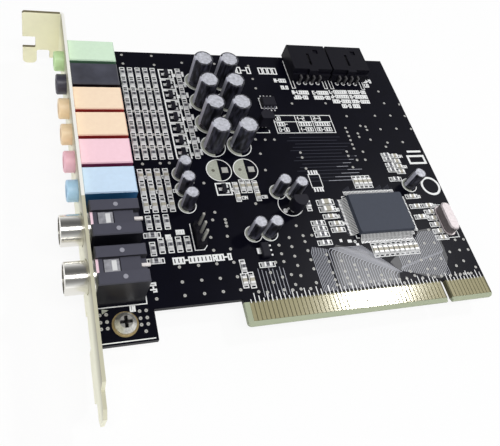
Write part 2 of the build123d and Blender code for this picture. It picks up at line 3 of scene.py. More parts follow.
import bpy
import numpy as np
from mathutils import Euler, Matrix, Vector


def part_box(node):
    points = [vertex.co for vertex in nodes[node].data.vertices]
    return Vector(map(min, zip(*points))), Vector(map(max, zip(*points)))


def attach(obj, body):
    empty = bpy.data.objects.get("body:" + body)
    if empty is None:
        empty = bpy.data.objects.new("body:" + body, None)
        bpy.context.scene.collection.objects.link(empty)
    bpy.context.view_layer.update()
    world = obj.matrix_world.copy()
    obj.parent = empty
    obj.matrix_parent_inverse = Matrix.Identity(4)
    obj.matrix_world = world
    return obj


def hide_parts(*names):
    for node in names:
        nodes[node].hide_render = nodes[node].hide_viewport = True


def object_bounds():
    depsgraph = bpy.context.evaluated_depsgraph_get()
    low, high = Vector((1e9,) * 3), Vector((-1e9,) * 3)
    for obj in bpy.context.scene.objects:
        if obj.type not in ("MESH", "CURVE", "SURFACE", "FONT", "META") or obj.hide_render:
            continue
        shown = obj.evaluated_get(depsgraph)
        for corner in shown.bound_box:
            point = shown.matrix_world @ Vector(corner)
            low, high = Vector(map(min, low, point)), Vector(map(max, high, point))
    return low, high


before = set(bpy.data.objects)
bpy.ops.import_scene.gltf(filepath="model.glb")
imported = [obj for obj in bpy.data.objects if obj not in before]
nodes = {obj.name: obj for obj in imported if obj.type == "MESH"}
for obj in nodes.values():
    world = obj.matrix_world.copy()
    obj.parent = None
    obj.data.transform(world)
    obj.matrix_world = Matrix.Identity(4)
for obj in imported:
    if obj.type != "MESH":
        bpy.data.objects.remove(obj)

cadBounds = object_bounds()
mm = 0.001


# Reading the frame

def nodeTriangles(name):
    # corner points of a node's loose triangles in millimetres: triangles by corners by axes
    mesh = nodes[name].data
    points = np.empty(len(mesh.vertices) * 3, np.float32)
    mesh.vertices.foreach_get("co", points)
    corners = np.empty(len(mesh.loops), np.int32)
    mesh.loops.foreach_get("vertex_index", corners)
    return points.reshape(-1, 3)[corners].reshape(-1, 3, 3).astype(float) / mm


def merged(triangles, step=1e-3):
    # corners that agree to a micron become one shared point
    flat = triangles.reshape(-1, 3)
    key = np.round(flat / step).astype(np.int64)
    first, index = np.unique(key, axis=0, return_index=True, return_inverse=True)[1:]
    return flat[first], index.reshape(-1, 3)


def islands(name):
    # boxes of a group node's separate solids: the least label spreads over shared triangles until it rests
    points, faces = merged(nodeTriangles(name))
    label = np.arange(len(points))
    while True:
        spread = label.copy()
        np.minimum.at(spread, faces.ravel(), np.repeat(label[faces].min(axis=1), 3))
        if (spread == label).all():
            break
        label = spread
    solids = [points[label == one] for one in np.unique(label)]
    low, high = zip(*[(solid.min(axis=0), solid.max(axis=0)) for solid in solids])
    return np.array(low), np.array(high)


def boxOf(name):
    # a node's lowest and highest corner in millimetres
    low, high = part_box(name)
    return np.array(low) / mm, np.array(high) / mm


def middleOf(name):
    low, high = boxOf(name)
    return (low + high) / 2


# Finishes

def shade(red, green, blue):
    # display colour, 0 to 255, to the linear light that sockets take
    part = np.array([red, green, blue]) / 255
    linear = np.where(part <= 0.04045, part / 12.92, ((part + 0.055) / 1.055) ** 2.4)
    return (*linear.tolist(), 1.0)


def addNode(tree, kind, **values):
    node = tree.nodes.new(kind)
    for key, value in values.items():
        setattr(node, key, value)
    return node


def feedSocket(tree, socket, value):
    # a socket takes another node's output, a display colour of three parts, or a plain value
    if isinstance(value, bpy.types.NodeSocket):
        tree.links.new(value, socket)
    elif isinstance(value, tuple) and len(value) == 3:
        socket.default_value = shade(*value)
    else:
        socket.default_value = value


def mathNode(tree, operation, *values):
    # a Math node on one or two sockets or numbers
    node = addNode(tree, "ShaderNodeMath", operation=operation)
    for socket, value in zip(node.inputs, values):
        feedSocket(tree, socket, value)
    return node.outputs[0]


def blendNode(tree, share, first, second):
    # a colour that goes from first to second as share goes from 0 to 1
    node = addNode(tree, "ShaderNodeMix", data_type="RGBA")
    for place, value in zip((0, 6, 7), (share, first, second)):
        feedSocket(tree, node.inputs[place], value)
    return node.outputs[2]


def axesOf(tree, socket):
    # a vector's three parts, by the names of their axes
    node = addNode(tree, "ShaderNodeSeparateXYZ")
    tree.links.new(socket, node.inputs[0])
    return node.outputs


def facingOf(tree):
    # the three parts of the way that a surface faces
    return axesOf(tree, addNode(tree, "ShaderNodeNewGeometry").outputs["Normal"])


def noiseNode(tree, scale, stretch=(1.0, 1.0, 1.0)):
    # smooth noise in the object's own coordinates, drawn out where stretch is under 1
    place = addNode(tree, "ShaderNodeTexCoord")
    mapping = addNode(tree, "ShaderNodeMapping")
    mapping.inputs["Scale"].default_value = stretch
    noise = addNode(tree, "ShaderNodeTexNoise")
    noise.inputs["Scale"].default_value = scale
    noise.inputs["Detail"].default_value = 3.0
    tree.links.new(place.outputs["Object"], mapping.inputs["Vector"])
    tree.links.new(mapping.outputs["Vector"], noise.inputs["Vector"])
    return noise.outputs["Fac"], place.outputs["Object"]


def startFinish(name, roughness, metal=0.0, shine=0.5):
    material = bpy.data.materials.new(name)
    material.use_nodes = True
    shader = material.node_tree.nodes["Principled BSDF"]
    shader.inputs["Roughness"].default_value = roughness
    shader.inputs["Metallic"].default_value = metal
    shader.inputs["Specular IOR Level"].default_value = shine
    return material, material.node_tree, shader


plainLook = dict(metal=0.0, shine=0.5, grain=900.0, mottle=0.06, bump=0.03, bumpDepth=0.0002)


def look(colour, roughness, **more):
    # display colour and roughness, with the plain settings where no others are given
    return {**plainLook, "colour": colour, "roughness": roughness, **more}


def finish(name, values):
    # a fine mottling of the colour and a faint bump; with a side colour, faces that don't look up take it as
    # painted shade, and with a barrel colour, what lies outside the bracket takes that brighter colour as
    # painted light
    material, tree, shader = startFinish(name, values["roughness"], values["metal"], values["shine"])
    noise, place = noiseNode(tree, values["grain"])
    colour = np.array(shade(*values["colour"])[:3])
    dark = (*(colour * (1 - values["mottle"])).tolist(), 1.0)
    light = (*np.minimum(colour * (1 + values["mottle"]), 1.0).tolist(), 1.0)
    tone = blendNode(tree, noise, dark, light)
    # painted shade: faces that don't look up take the darker side colour, faces that look up keep the lit one
    if "side" in values:
        upward = mathNode(tree, "MAXIMUM", facingOf(tree)["Z"], 0.0)
        tone = blendNode(tree, upward, values["side"], tone)
    # painted light: the jacks' barrels outside the bracket take a brighter colour
    if "barrel" in values:
        outside = mathNode(tree, "LESS_THAN", axesOf(tree, place)["X"], wall * mm)
        tone = blendNode(tree, outside, tone, values["barrel"])
    tree.links.new(tone, shader.inputs["Base Color"])
    bump = addNode(tree, "ShaderNodeBump")
    bump.inputs["Strength"].default_value = values["bump"]
    bump.inputs["Distance"].default_value = values["bumpDepth"]
    tree.links.new(noise, bump.inputs["Height"])
    tree.links.new(bump.outputs["Normal"], shader.inputs["Normal"])
    return material


boardLow = boxOf("circuit_board")[0]
wall = float(boardLow[0])  # the jacks' barrels lie outside this, beyond the bracket
looks = {
    "contactGold": look((162, 155, 120), 0.14, metal=0.1, shine=0.9, bump=0.005),
    "screwSteel": look((206, 204, 198), 0.28, metal=0.8, grain=2200.0, mottle=0.45),
    # jacks and sockets: the side colour is painted shade on faces that don't look up, and the jacks' barrel
    # colour is painted light on the barrels outside the bracket; the jacks' pale main colours paint the glare
    # on their tops
    "jackGreen": look((214, 238, 212), 0.42, side=(92, 132, 104), barrel=(208, 240, 180)),
    "jackBlack": look((64, 65, 76), 0.4, side=(14, 14, 18), barrel=(66, 64, 78), grain=190.0, mottle=0.8),
    "jackOrange": look((253, 226, 198), 0.42, side=(176, 52, 48), barrel=(255, 227, 186)),
    "jackPink": look((253, 211, 222), 0.42, side=(140, 52, 92), barrel=(255, 200, 212)),
    "jackBlue": look((203, 225, 246), 0.42, side=(42, 98, 146), barrel=(184, 222, 248)),
    "springMetal": look((205, 200, 180), 0.3, metal=1.0),
    "socketBlack": look((70, 70, 82), 0.4, side=(22, 22, 30)),
    "socketMark": look((150, 150, 160), 0.4),
    "nickel": look((232, 230, 224), 0.18, metal=1.0, mottle=0.02, bump=0.005),
    "whitePlastic": look((236, 230, 228), 0.45),
    "pinkPlastic": look((240, 208, 222), 0.45),
    "windowGrey": look((150, 150, 156), 0.35, mottle=0.6),
    "canTop": look((188, 189, 197), 0.5, metal=0.1, grain=1100.0, mottle=0.65, bump=0.1),
    "connectorBlack": look((14, 13, 22), 0.5, shine=0.12),
    "pinGrey": look((104, 102, 104), 0.35, metal=0.6),
    "pinMetal": look((206, 204, 196), 0.35, metal=0.7),
    "chipGrey": look((60, 65, 77), 0.6, shine=0.3, mottle=0.08, bump=0.06),
    "chipBlack": look((24, 23, 33), 0.5, shine=0.2),
    "leadTin": look((230, 230, 230), 0.42, metal=0.4),
    "leadDark": look((96, 96, 106), 0.45, metal=0.4),
    "padTin": look((228, 228, 228), 0.5, metal=0.15),
    "landGold": look((150, 132, 92), 0.45, metal=0.5),
    "viaTin": look((178, 177, 173), 0.5, metal=0.15),
    "solder": look((198, 198, 198), 0.5, metal=0.25),
    # the crystal can's side colour is painted shade on faces that don't look up
    "canMetal": look((204, 195, 196), 0.38, side=(108, 101, 102), metal=0.25, grain=1400.0, mottle=0.3),
    "resistorGrey": look((130, 130, 136), 0.5, grain=2600.0, mottle=0.5),
    "markDark": look((66, 66, 72), 0.6),
    "capacitorCeramic": look((172, 167, 152), 0.5, grain=2600.0, mottle=0.35),
    "silkWhite": look((238, 239, 238), 0.7, mottle=0.05),
    "silkPale": look((168, 171, 158), 0.7, grain=1800.0, mottle=0.4),
    "maskedField": look((14, 15, 25), 0.4, shine=1.0, grain=700.0, mottle=0.3),
    "fieldEdge": look((13, 14, 23), 0.4, shine=0.6, grain=700.0, mottle=0.3),
    "fieldMiddle": look((34, 36, 46), 0.42, shine=1.0, grain=700.0, mottle=0.3),
    "maskedTrace": look((156, 158, 169), 0.4, shine=0.9),
    "faintTrace": look((50, 52, 64), 0.4, shine=0.2),
    "viaDip": look((100, 98, 88), 0.7),
}
finishes = {name: finish(name, values) for name, values in looks.items()}
print("finishes:", len(finishes))


# Making pieces

sharpAngle = 32.0  # edges that turn by more degrees than this stay sharp
layerStep = 0.004  # tops of neighbouring prisms differ by this, so that none lie in one plane
roundSteps = 20  # sides of a small disc


def makePiece(name, points, faces, finishName, slotName, replaced=()):
    # points in millimetres and faces as lists of their numbers become one object at the origin
    mesh = bpy.data.meshes.new(name)
    mesh.from_pydata((np.asarray(points) * mm).tolist(), [], faces)
    mesh.shade_smooth()
    mesh.set_sharp_from_angle(angle=math.radians(sharpAngle))
    mesh.materials.append(finishes[finishName])
    piece = bpy.data.objects.new(name, mesh)
    bpy.context.scene.collection.objects.link(piece)
    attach(piece, "root")
    if replaced:
        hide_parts(*replaced)
    return piece


def joined(*parts):
    # several (points, faces) pairs as one, each part's numbers moved past those before it
    points, faces, start = [], [], 0
    for somePoints, someFaces in parts:
        points.append(np.asarray(somePoints, float).reshape(-1, 3))
        faces += [[number + start for number in face] for face in someFaces]
        start += len(points[-1])
    return np.concatenate(points), faces


def blocks(corners):
    # rows of eight corners, four below and four above that turn left, to closed blocks of six quads
    quads = np.array([[3, 2, 1, 0], [4, 5, 6, 7], [0, 1, 5, 4], [1, 2, 6, 5], [2, 3, 7, 6], [3, 0, 4, 7]])
    faces = np.arange(len(corners))[:, None, None] * 8 + quads
    return corners.reshape(-1, 3), faces.reshape(-1, 4).tolist()


def boxes(low, high):
    # rows of lowest and highest corners to closed boxes: a corner takes each axis from one or the other
    turn = np.array([[0, 0], [1, 0], [1, 1], [0, 1]])
    pick = np.c_[np.tile(turn, (2, 1)), np.repeat([0, 1], 4)]
    return blocks(np.where(pick == 1, np.atleast_2d(high)[:, None], np.atleast_2d(low)[:, None]))


def pads(low, high, level):
    # flat boxes on the board's face, from rows of lowest and highest x and y
    foot = np.zeros(len(low))
    return boxes(np.c_[low[:, :2], foot], np.c_[high[:, :2], foot + level])


def prisms(outline, low, high):
    # rows of flat four-point outlines, turning left, stood up as closed prisms
    level = high + layerStep * (np.arange(len(outline)) % 4)
    foot = np.dstack([outline, np.full(outline.shape[:2], low)])
    head = np.dstack([outline, np.broadcast_to(level[:, None], outline.shape[:2])])
    return blocks(np.concatenate([foot, head], axis=1))


def ribbons(lines, width, low, high):
    # each line from (x0, y0) to (x1, y1) is a bar of that width, longer by half a width at both ends
    lines = np.concatenate([np.asarray(part, float).reshape(-1, 4) for part in lines])
    start, end = lines[:, :2], lines[:, 2:]
    along = end - start
    along = along / np.maximum(np.linalg.norm(along, axis=1, keepdims=True), 1e-9)
    across = np.stack([-along[:, 1], along[:, 0]], axis=1) * width / 2
    start, end = start - along * width / 2, end + along * width / 2
    outline = np.stack([start - across, end - across, end + across, start + across], axis=1)
    return prisms(outline, low, high)


def stackedLoops(loops, tube=False):
    # rows of loops of points that turn left, joined by quads; the first and last loop are closed by a face,
    # or in a tube the last one joins the first
    number = np.arange(loops.shape[0] * loops.shape[1]).reshape(loops.shape[:2])
    upper = np.roll(number, -1, axis=0)
    quads = np.dstack([number, np.roll(number, -1, axis=1), np.roll(upper, -1, axis=1), upper])
    if tube:
        faces = quads.reshape(-1, 4).tolist()
    else:
        faces = quads[:-1].reshape(-1, 4).tolist() + [number[0, ::-1].tolist(), number[-1].tolist()]
    return loops.reshape(-1, 3), faces


def plate(outline, low, high):
    # one flat outline of many points, turning left, stood up as a closed plate
    outline = np.asarray(outline, float)
    return stackedLoops(np.stack([np.c_[outline, np.full(len(outline), level)] for level in (low, high)]))


def arcPoints(x, y, radius, start, end, steps):
    # points on a circle between two angles in degrees
    angle = np.radians(np.linspace(start, end, steps + 1))
    return np.stack([x + radius * np.cos(angle), y + radius * np.sin(angle)], axis=1)


def circlePoints(x, y, radius, segments):
    # a whole circle, its first point not repeated
    return arcPoints(x, y, radius, 0.0, 360.0, segments)[:-1]


def discs(centres, radius, low, high, segments=roundSteps):
    # plain round plates, one for each centre
    return joined(*[plate(circlePoints(x, y, radius, segments), low, high) for x, y in centres])


def lathe(profile, centre, segments, tube=False):
    # a profile of (radius, height) rows turned about a standing axis
    radius, height = np.asarray(profile, float).T[:, :, None]
    x, y = circlePoints(0.0, 0.0, 1.0, segments).T
    return stackedLoops(np.dstack([radius * x, radius * y, height + 0 * x]) + centre, tube)


def rings(centres, outer, inner, low, high, segments):
    # flat washers: four circles, low and high at the outer and inner radius, joined into a closed tube
    profile = ((outer, low), (outer, high), (inner, high), (inner, low))
    return joined(*[lathe(profile, (x, y, 0.0), segments, True) for x, y in centres])


def smoothCopy(name, finishName, slotName):
    # a merged copy of a CAD node, with its round faces shaded smooth, stands for the node
    points, faces = merged(nodeTriangles(name))
    kept = (faces != np.roll(faces, 1, axis=1)).all(axis=1)
    return makePiece(name + "_smooth", points, faces[kept].tolist(), finishName, slotName, (name,))


def dress(name, finishName):
    # a CAD node that stays as it is takes a finish
    nodes[name].data.materials.clear()
    nodes[name].data.materials.append(finishes[finishName])


# Board

board = dict(maskDark=(4, 4, 13), maskLight=(9, 9, 22), laminate=(168, 175, 150), gap=(100, 97, 72),
             edge=(26, 26, 30), bareTop=6.6, bevelTop=1.15, tongueLeft=-65.5, gapLeft=-63.4, steep=0.3,
             roughness=0.36, shine=0.08, grain=260.0)


def boardFinish():
    # dark mask on both faces, olive laminate between the contacts darkened as painted shade, pale laminate on
    # the bevel, dark core on cut sides
    material, tree, shader = startFinish("solderMask", board["roughness"], shine=board["shine"])
    noise, place = noiseNode(tree, board["grain"])
    axes = axesOf(tree, place)
    right = mathNode(tree, "GREATER_THAN", axes["X"], board["tongueLeft"] * mm)
    bare, bevel = [mathNode(tree, "MULTIPLY", mathNode(tree, "LESS_THAN", axes["Y"], board[top] * mm), right)
                   for top in ("bareTop", "bevelTop")]
    mask = blendNode(tree, noise, board["maskDark"], board["maskLight"])
    # the laminate between the contacts is darker olive: laminate with painted shade
    tone = blendNode(tree, bare, mask, board["gap"])
    end = mathNode(tree, "LESS_THAN", axes["X"], board["gapLeft"] * mm)
    pale = mathNode(tree, "MAXIMUM", bevel, mathNode(tree, "MULTIPLY", bare, end))
    tone = blendNode(tree, pale, tone, board["laminate"])
    level = mathNode(tree, "ABSOLUTE", facingOf(tree)["Z"])
    high = mathNode(tree, "GREATER_THAN", axes["Y"], board["bareTop"] * mm)
    cut = mathNode(tree, "MULTIPLY", mathNode(tree, "LESS_THAN", level, board["steep"]), high)
    tree.links.new(blendNode(tree, cut, tone, board["edge"]), shader.inputs["Base Color"])
    return material


finishes["solderMask"] = boardFinish()
dress("circuit_board", "solderMask")
for name in ("contacts_component_side", "contacts_solder_side"):
    dress(name, "contactGold")

# short tinned stubs of three lengths above the contacts
stub = dict(width=0.28, reach=2.8, high=0.03, least=0.4, step=0.3)
contactLow, contactHigh = islands("contacts_component_side")
stubMiddle = (contactLow + contactHigh)[:, 0] / 2
stubShare = stub["least"] + stub["step"] * (np.arange(len(stubMiddle)) * 2 % 3)
stubLow = np.c_[stubMiddle - stub["width"] / 2, contactHigh[:, 1]]
stubHigh = np.c_[stubMiddle + stub["width"] / 2, contactHigh[:, 1] + stub["reach"] * stubShare]
makePiece("contact_stubs", *pads(stubLow, stubHigh, stub["high"]), "padTin", "lead_tin")
print("board dressed")


# Bracket and sockets

# tones that stand in for light: upward is a painted reflection on edges that look up beside the jacks,
# lowEdge those edges elsewhere, and edge the dark of the painted shade on the outer rim and cut edges and of
# the random mottle
bracket = dict(colour=(255, 253, 226), upward=(254, 253, 246), lowEdge=(202, 199, 174),
               tabFace=(254, 250, 216), edge=(114, 106, 76), tab=-106.4, fade=9.0, fadeShare=0.9, lowEnd=34.0,
               roughness=0.4, metal=0.12, grain=420.0, mottle=0.1, turned=0.5)


def bracketFinish():
    # plated sheet whose tones stand in for light: edges that look up are paler beside the jacks as painted
    # reflection, the outer face darkens towards its upper rim as painted shade, and the tab's cut edges take
    # a painted dark reflection
    material, tree, shader = startFinish("bracketPlate", bracket["roughness"], bracket["metal"])
    noise, place = noiseNode(tree, bracket["grain"])
    axes = axesOf(tree, place)
    facing = facingOf(tree)
    outside = mathNode(tree, "LESS_THAN", axes["X"], bracket["tab"] * mm)
    # painted dark reflection on the tab's cut edges and painted shade rising towards the outer face's upper
    # rim
    cut = mathNode(tree, "LESS_THAN", mathNode(tree, "ABSOLUTE", facing["Y"]), bracket["turned"])
    foot = float(boxOf("bracket")[1][2] - bracket["fade"]) * mm
    rise = mathNode(tree, "MAXIMUM", mathNode(tree, "SUBTRACT", axes["Z"], foot), 0.0)
    rim = mathNode(tree, "MULTIPLY", rise, bracket["fadeShare"] / (bracket["fade"] * mm))
    rim = mathNode(tree, "MULTIPLY", rim, mathNode(tree, "LESS_THAN", facing["X"], -bracket["turned"]))
    dark = mathNode(tree, "MAXIMUM", mathNode(tree, "MULTIPLY", outside, cut), rim)
    # painted reflection: edges that look up beside the jacks are paler; faces that look up take another tone
    # than the rest
    beside = mathNode(tree, "GREATER_THAN", axes["Y"], bracket["lowEnd"] * mm)
    upward = blendNode(tree, beside, bracket["lowEdge"], bracket["upward"])
    tone = blendNode(tree, mathNode(tree, "MAXIMUM", facing["Z"], 0.0), bracket["colour"], upward)
    tone = blendNode(tree, outside, tone, bracket["tabFace"])
    tone = blendNode(tree, mathNode(tree, "MULTIPLY", noise, bracket["mottle"]), tone, bracket["edge"])
    tree.links.new(blendNode(tree, dark, tone, bracket["edge"]), shader.inputs["Base Color"])
    return material


finishes["bracketPlate"] = bracketFinish()
smoothCopy("bracket", "bracketPlate", "bracket_plate")

# recess is the colour of the painted shade inside the cross
screw = dict(recessTop=1.35, recessReach=1.7, recess=(34, 31, 32), landOuter=3.35, landInner=1.6,
             landHigh=0.02, landSteps=40)
screwMiddle = middleOf("bracket_screw")


def paintRecessShade(material):
    # painted shade: the screw's steel goes dark inside the cross, near the axis, above the board and below
    # the dome
    tree = material.node_tree
    paint = tree.nodes["Principled BSDF"].inputs["Base Color"]
    steel = paint.links[0].from_socket
    axes = axesOf(tree, addNode(tree, "ShaderNodeTexCoord").outputs["Object"])
    away = [mathNode(tree, "SUBTRACT", axes[one], float(screwMiddle[one]) * mm) for one in (0, 1)]
    square = mathNode(tree, "ADD", *[mathNode(tree, "MULTIPLY", part, part) for part in away])
    near = mathNode(tree, "LESS_THAN", square, (screw["recessReach"] * mm) ** 2)
    deep = mathNode(tree, "LESS_THAN", axes["Z"], screw["recessTop"] * mm)
    above = mathNode(tree, "GREATER_THAN", axes["Z"], 0.0)
    inside = mathNode(tree, "MULTIPLY", mathNode(tree, "MULTIPLY", near, deep), above)
    tree.links.new(blendNode(tree, inside, steel, screw["recess"]), paint)


paintRecessShade(finishes["screwSteel"])
smoothCopy("bracket_screw", "screwSteel", "screw_steel")
jackNames = ["mini_jack_" + one for one in ("green", "black", "orange_upper", "orange_lower", "pink", "blue")]
for name in jackNames:
    tint = name.split("_")[2]
    smoothCopy(name, "jack" + tint.title(), "jack_" + tint)
dress("jack_springs", "springMetal")

digitalNames = ["digital_socket_lower", "digital_socket_upper"]
for name in digitalNames:
    smoothCopy(name, "socketBlack", "socket_black")
    smoothCopy(name.replace("socket", "shell"), "nickel", "nickel")
    smoothCopy(name.replace("socket", "insulator"), "whitePlastic", "white_plastic")
    smoothCopy(name.replace("socket", "contact"), "nickel", "nickel")

# plates in the digital sockets' grooves: start and end from the socket's low end, half width and height
# above the groove, with the bars as painted highlights and the dark frames as painted shade round the
# windows;
# and light spots beside them as painted highlights
digital = dict(groove=0.9, plate=0.3, glintX=6.6, glintAside=3.5, glintRadius=0.6, markSunk=0.05, markHigh=0.1)
socketPlates = {
    "digital_windows": (2.0, 5.7, 1.7, 0.05, "windowGrey", "white_plastic"),
    "digital_frames": (1.75, 5.95, 1.95, 0.02, "chipBlack", "socket_black"),
    "digital_bars": (3.85, 5.034, 1.36, 0.08, "padTin", "white_plastic"),
    "digital_strips": (0.05, 0.7, 1.9, 0.06, "pinkPlastic", "white_plastic"),
}
socketLow, socketHigh = np.transpose([boxOf(name) for name in digitalNames], (1, 0, 2))
socketX, socketY = socketLow[:, 0], (socketLow + socketHigh)[:, 1] / 2
groove = socketHigh[:, 2] - digital["groove"]
for name, (start, end, half, proud, finishName, slotName) in socketPlates.items():
    plateLow = np.c_[socketX + start, socketY - half, groove - digital["plate"]]
    plateHigh = np.c_[socketX + end, socketY + half, groove + proud]
    makePiece(name, *boxes(plateLow, plateHigh), finishName, slotName)
# light grey spots on the socket tops: painted highlights
glintSpots = [(x + digital["glintX"], y + side * digital["glintAside"])
         for x, y in zip(socketX, socketY) for side in (-1, 1)]
glintFoot, glintTop = socketHigh[0, 2] - digital["markSunk"], socketHigh[0, 2] + digital["markHigh"]
makePiece("digital_glint_spots", *discs(glintSpots, digital["glintRadius"], glintFoot, glintTop),
          "socketMark", "socket_black")
dress("digital_retainers", "whitePlastic")
print("bracket and sockets done")


# Capacitors

capacitor = dict(segments=48, foot=0.15, rim=0.3, crimp=0.22, crimpLow=0.9, crimpHigh=1.7, topShare=0.83,
                 recess=0.12, stripeHalf=20.0, ventDepth=0.03, ventWidth=0.14, ventEnd=0.86, ventFade=8.0,
                 topRings=9, topInner=0.02, crimpSteps=7, rimSteps=5, ragged=0.05, dark=(9, 9, 17),
                 highlightStreak=(68, 68, 82), stripe=(176, 176, 188),
                 roughness=0.32, grain=1300.0, drawn=0.22, highlightFrom=0.42, highlightGain=4.0, large=2.5)


def sleeveFinish():
    # dark sleeve with painted highlight streaks and a paler stripe, set by the stripe attribute: cosine of
    # the angle from it
    material, tree, shader = startFinish("capacitorSleeve", capacitor["roughness"])
    stripe = addNode(tree, "ShaderNodeAttribute", attribute_name="stripe")
    edge = math.cos(math.radians(capacitor["stripeHalf"]))
    share = mathNode(tree, "GREATER_THAN", stripe.outputs["Fac"], edge)
    noise = noiseNode(tree, capacitor["grain"], (1.0, 1.0, capacitor["drawn"]))[0]
    # noise drawn out along the height, cut and raised into painted highlight streaks
    highlightStreaks = mathNode(tree, "SUBTRACT", noise, capacitor["highlightFrom"])
    highlightStreaks = mathNode(tree, "MULTIPLY", highlightStreaks, capacitor["highlightGain"])
    highlightStreaks = mathNode(tree, "MINIMUM", mathNode(tree, "MAXIMUM", highlightStreaks, 0.0), 1.0)
    tone = blendNode(tree, highlightStreaks, capacitor["dark"], capacitor["highlightStreak"])
    tree.links.new(blendNode(tree, share, tone, capacitor["stripe"]), shader.inputs["Base Color"])
    return material


finishes["capacitorSleeve"] = sleeveFinish()


def capacitorSleeve(centre, radius, height):
    # turned profile: foot, crimp groove, straight wall, rounded shoulder, then inwards to the bare top
    rim, foot = capacitor["rim"], capacitor["foot"]
    low, high = capacitor["crimpLow"], capacitor["crimpHigh"]
    groove = np.linspace(0, np.pi, capacitor["crimpSteps"])
    shoulder = np.linspace(0, np.pi / 2, capacitor["rimSteps"])
    inner = radius * capacitor["topShare"]
    profile = [[[radius - foot, 0.0], [radius, foot]],
               np.c_[radius - capacitor["crimp"] * np.sin(groove), low + (high - low) * groove / np.pi],
               np.c_[radius - rim + rim * np.cos(shoulder), height - rim + rim * np.sin(shoulder)],
               [[inner, height], [inner, height - capacitor["recess"]]]]
    points, faces = lathe(np.concatenate(profile), centre, capacitor["segments"])
    # the sleeve's inner edge is ragged: its radius swings by two sines, of seven and thirteen waves a turn
    angle = np.arange(capacitor["segments"]) * 2 * np.pi / capacitor["segments"]
    swing = 1 + capacitor["ragged"] * (np.sin(7 * angle + centre[1]) + np.sin(13 * angle + centre[0])) / 2
    edge = slice(-2 * capacitor["segments"], None)
    points[edge, :2] = centre[:2] + (points[edge, :2] - centre[:2]) * np.tile(swing, 2)[:, None]
    return points, faces


def capacitorTop(centre, radius, height):
    # disc on a polar grid, level but for a pressed cross: depth falls off as a bell from two crossing lines
    reach = radius * capacitor["topShare"] * (1 + capacitor["ragged"])
    share = np.linspace(1, capacitor["topInner"], capacitor["topRings"])[:, None]
    x, y = [share * part for part in circlePoints(0.0, 0.0, reach, capacitor["segments"]).T]
    away = np.minimum(abs(x + y), abs(x - y)) / math.sqrt(2)
    fade = np.clip((capacitor["ventEnd"] - share) * capacitor["ventFade"], 0, 1)
    top = height - capacitor["recess"] / 2
    level = top - capacitor["ventDepth"] * fade * np.exp(-(away / capacitor["ventWidth"]) ** 2)
    upper = np.dstack([x, y, level])
    under = upper[:1] * (1, 1, 0) + (0, 0, top - capacitor["recess"])
    return stackedLoops(np.concatenate([under, upper]) + centre)


capacitorNames = [f"{kind}_capacitor_{one}" for kind in ("output", "supply") for one in range(1, 9)]
capacitorPlaces = []
for name in capacitorNames:
    low, high = boxOf(name)
    centre = np.append((low + high)[:2] / 2, low[2])
    radius = (high[0] - low[0]) / 2
    height = high[2] - low[2]
    capacitorPlaces.append((centre[0], centre[1], radius))
    points, faces = capacitorSleeve(centre, radius, height)
    wrap = makePiece(name + "_sleeve", points, faces, "capacitorSleeve", "capacitor_sleeve", (name,))
    stripe = wrap.data.attributes.new("stripe", "FLOAT", "POINT")
    away = points[:, :2] - centre[:2]
    stripe.data.foreach_set("value", (-away[:, 0] / np.linalg.norm(away, axis=1)).astype(np.float32))
    makePiece(name + "_top", *capacitorTop(centre, radius, height), "canTop", "can_metal")
print("capacitors done")


# Connectors, chips with leads and the crystal

for index in "12":
    smoothCopy("audio_connector_" + index, "connectorBlack", "connector_black")
    dress("audio_connector_pins_" + index, "pinGrey")
smoothCopy("jumper_block", "connectorBlack", "connector_black")
dress("jumper_pins", "pinMetal")
smoothCopy("main_chip", "chipGrey", "chip_mould")
for name in ("amplifier", "transistors", "standing_regulator", "flat_regulator"):
    smoothCopy(name, "chipBlack", "chip_mould")
for name in ("main_chip_leads", "transistor_leads", "standing_regulator_leads", "flat_regulator_metal"):
    smoothCopy(name, "leadTin", "lead_tin")
smoothCopy("amplifier_leads", "leadDark", "lead_tin")
smoothCopy("crystal_can", "canMetal", "can_metal")

# a small standing regulator in front of two supply capacitors: round front, flat back, three spread leads
stand = dict(x=-42.0, y=34.2, half=2.35, flat=32.0, low=2.4, high=7.1, steps=28, pitch=2.5, spread=0.5,
             lead=0.24, sunk=0.2, pad=0.75, padHigh=0.03, ring=4.0, ringX=-42.3, ringY=36.2)
standFront = arcPoints(stand["x"], stand["y"], stand["half"], 180.0 - stand["flat"], 360.0 + stand["flat"],
                       stand["steps"])
makePiece("small_regulator", *plate(standFront, stand["low"], stand["high"]), "chipBlack", "chip_mould")
standFeet = [(stand["x"] + side * stand["pitch"], stand["y"]) for side in (-1, 0, 1)]
square = np.array([[-1, -1], [1, -1], [1, 1], [-1, 1]]) * stand["lead"]
leadCorners = []
for x, y in standFeet:
    headX = stand["x"] + (x - stand["x"]) * stand["spread"]
    ends = ((x, 0.0), (headX, stand["low"] + stand["sunk"]))
    leadCorners.append(np.concatenate([np.c_[square + (endX, y), np.full(4, level)] for endX, level in ends]))
makePiece("small_regulator_leads", *blocks(np.array(leadCorners)), "leadTin", "lead_tin")
makePiece("small_regulator_pads", *discs(standFeet, stand["pad"], 0.0, stand["padHigh"]),
          "padTin", "lead_tin")
print("connectors and chips done")


# Chip resistors and capacitors

chip = dict(endShare=0.24, capProud=0.03, padSide=0.04, padTop=0.03, padShare=0.5, solderRise=0.7,
            solderReach=0.85, markLong=0.5, markWide=0.3, markSunk=0.01, markHigh=0.015, boxAlong=1.34,
            boxAside=0.1, boxLeast=0.3, lineAside=1.3, lineApart=0.1, farAway=9.0)
chipParts = {name: islands(name) for name in ("chip_resistors", "chip_capacitors")}
chipLow, chipHigh = [np.concatenate(part) for part in zip(*chipParts.values())]
chipLong = np.argmax((chipHigh - chipLow)[:, :2], axis=1)
chipMiddle = (chipLow + chipHigh)[:, :2] / 2


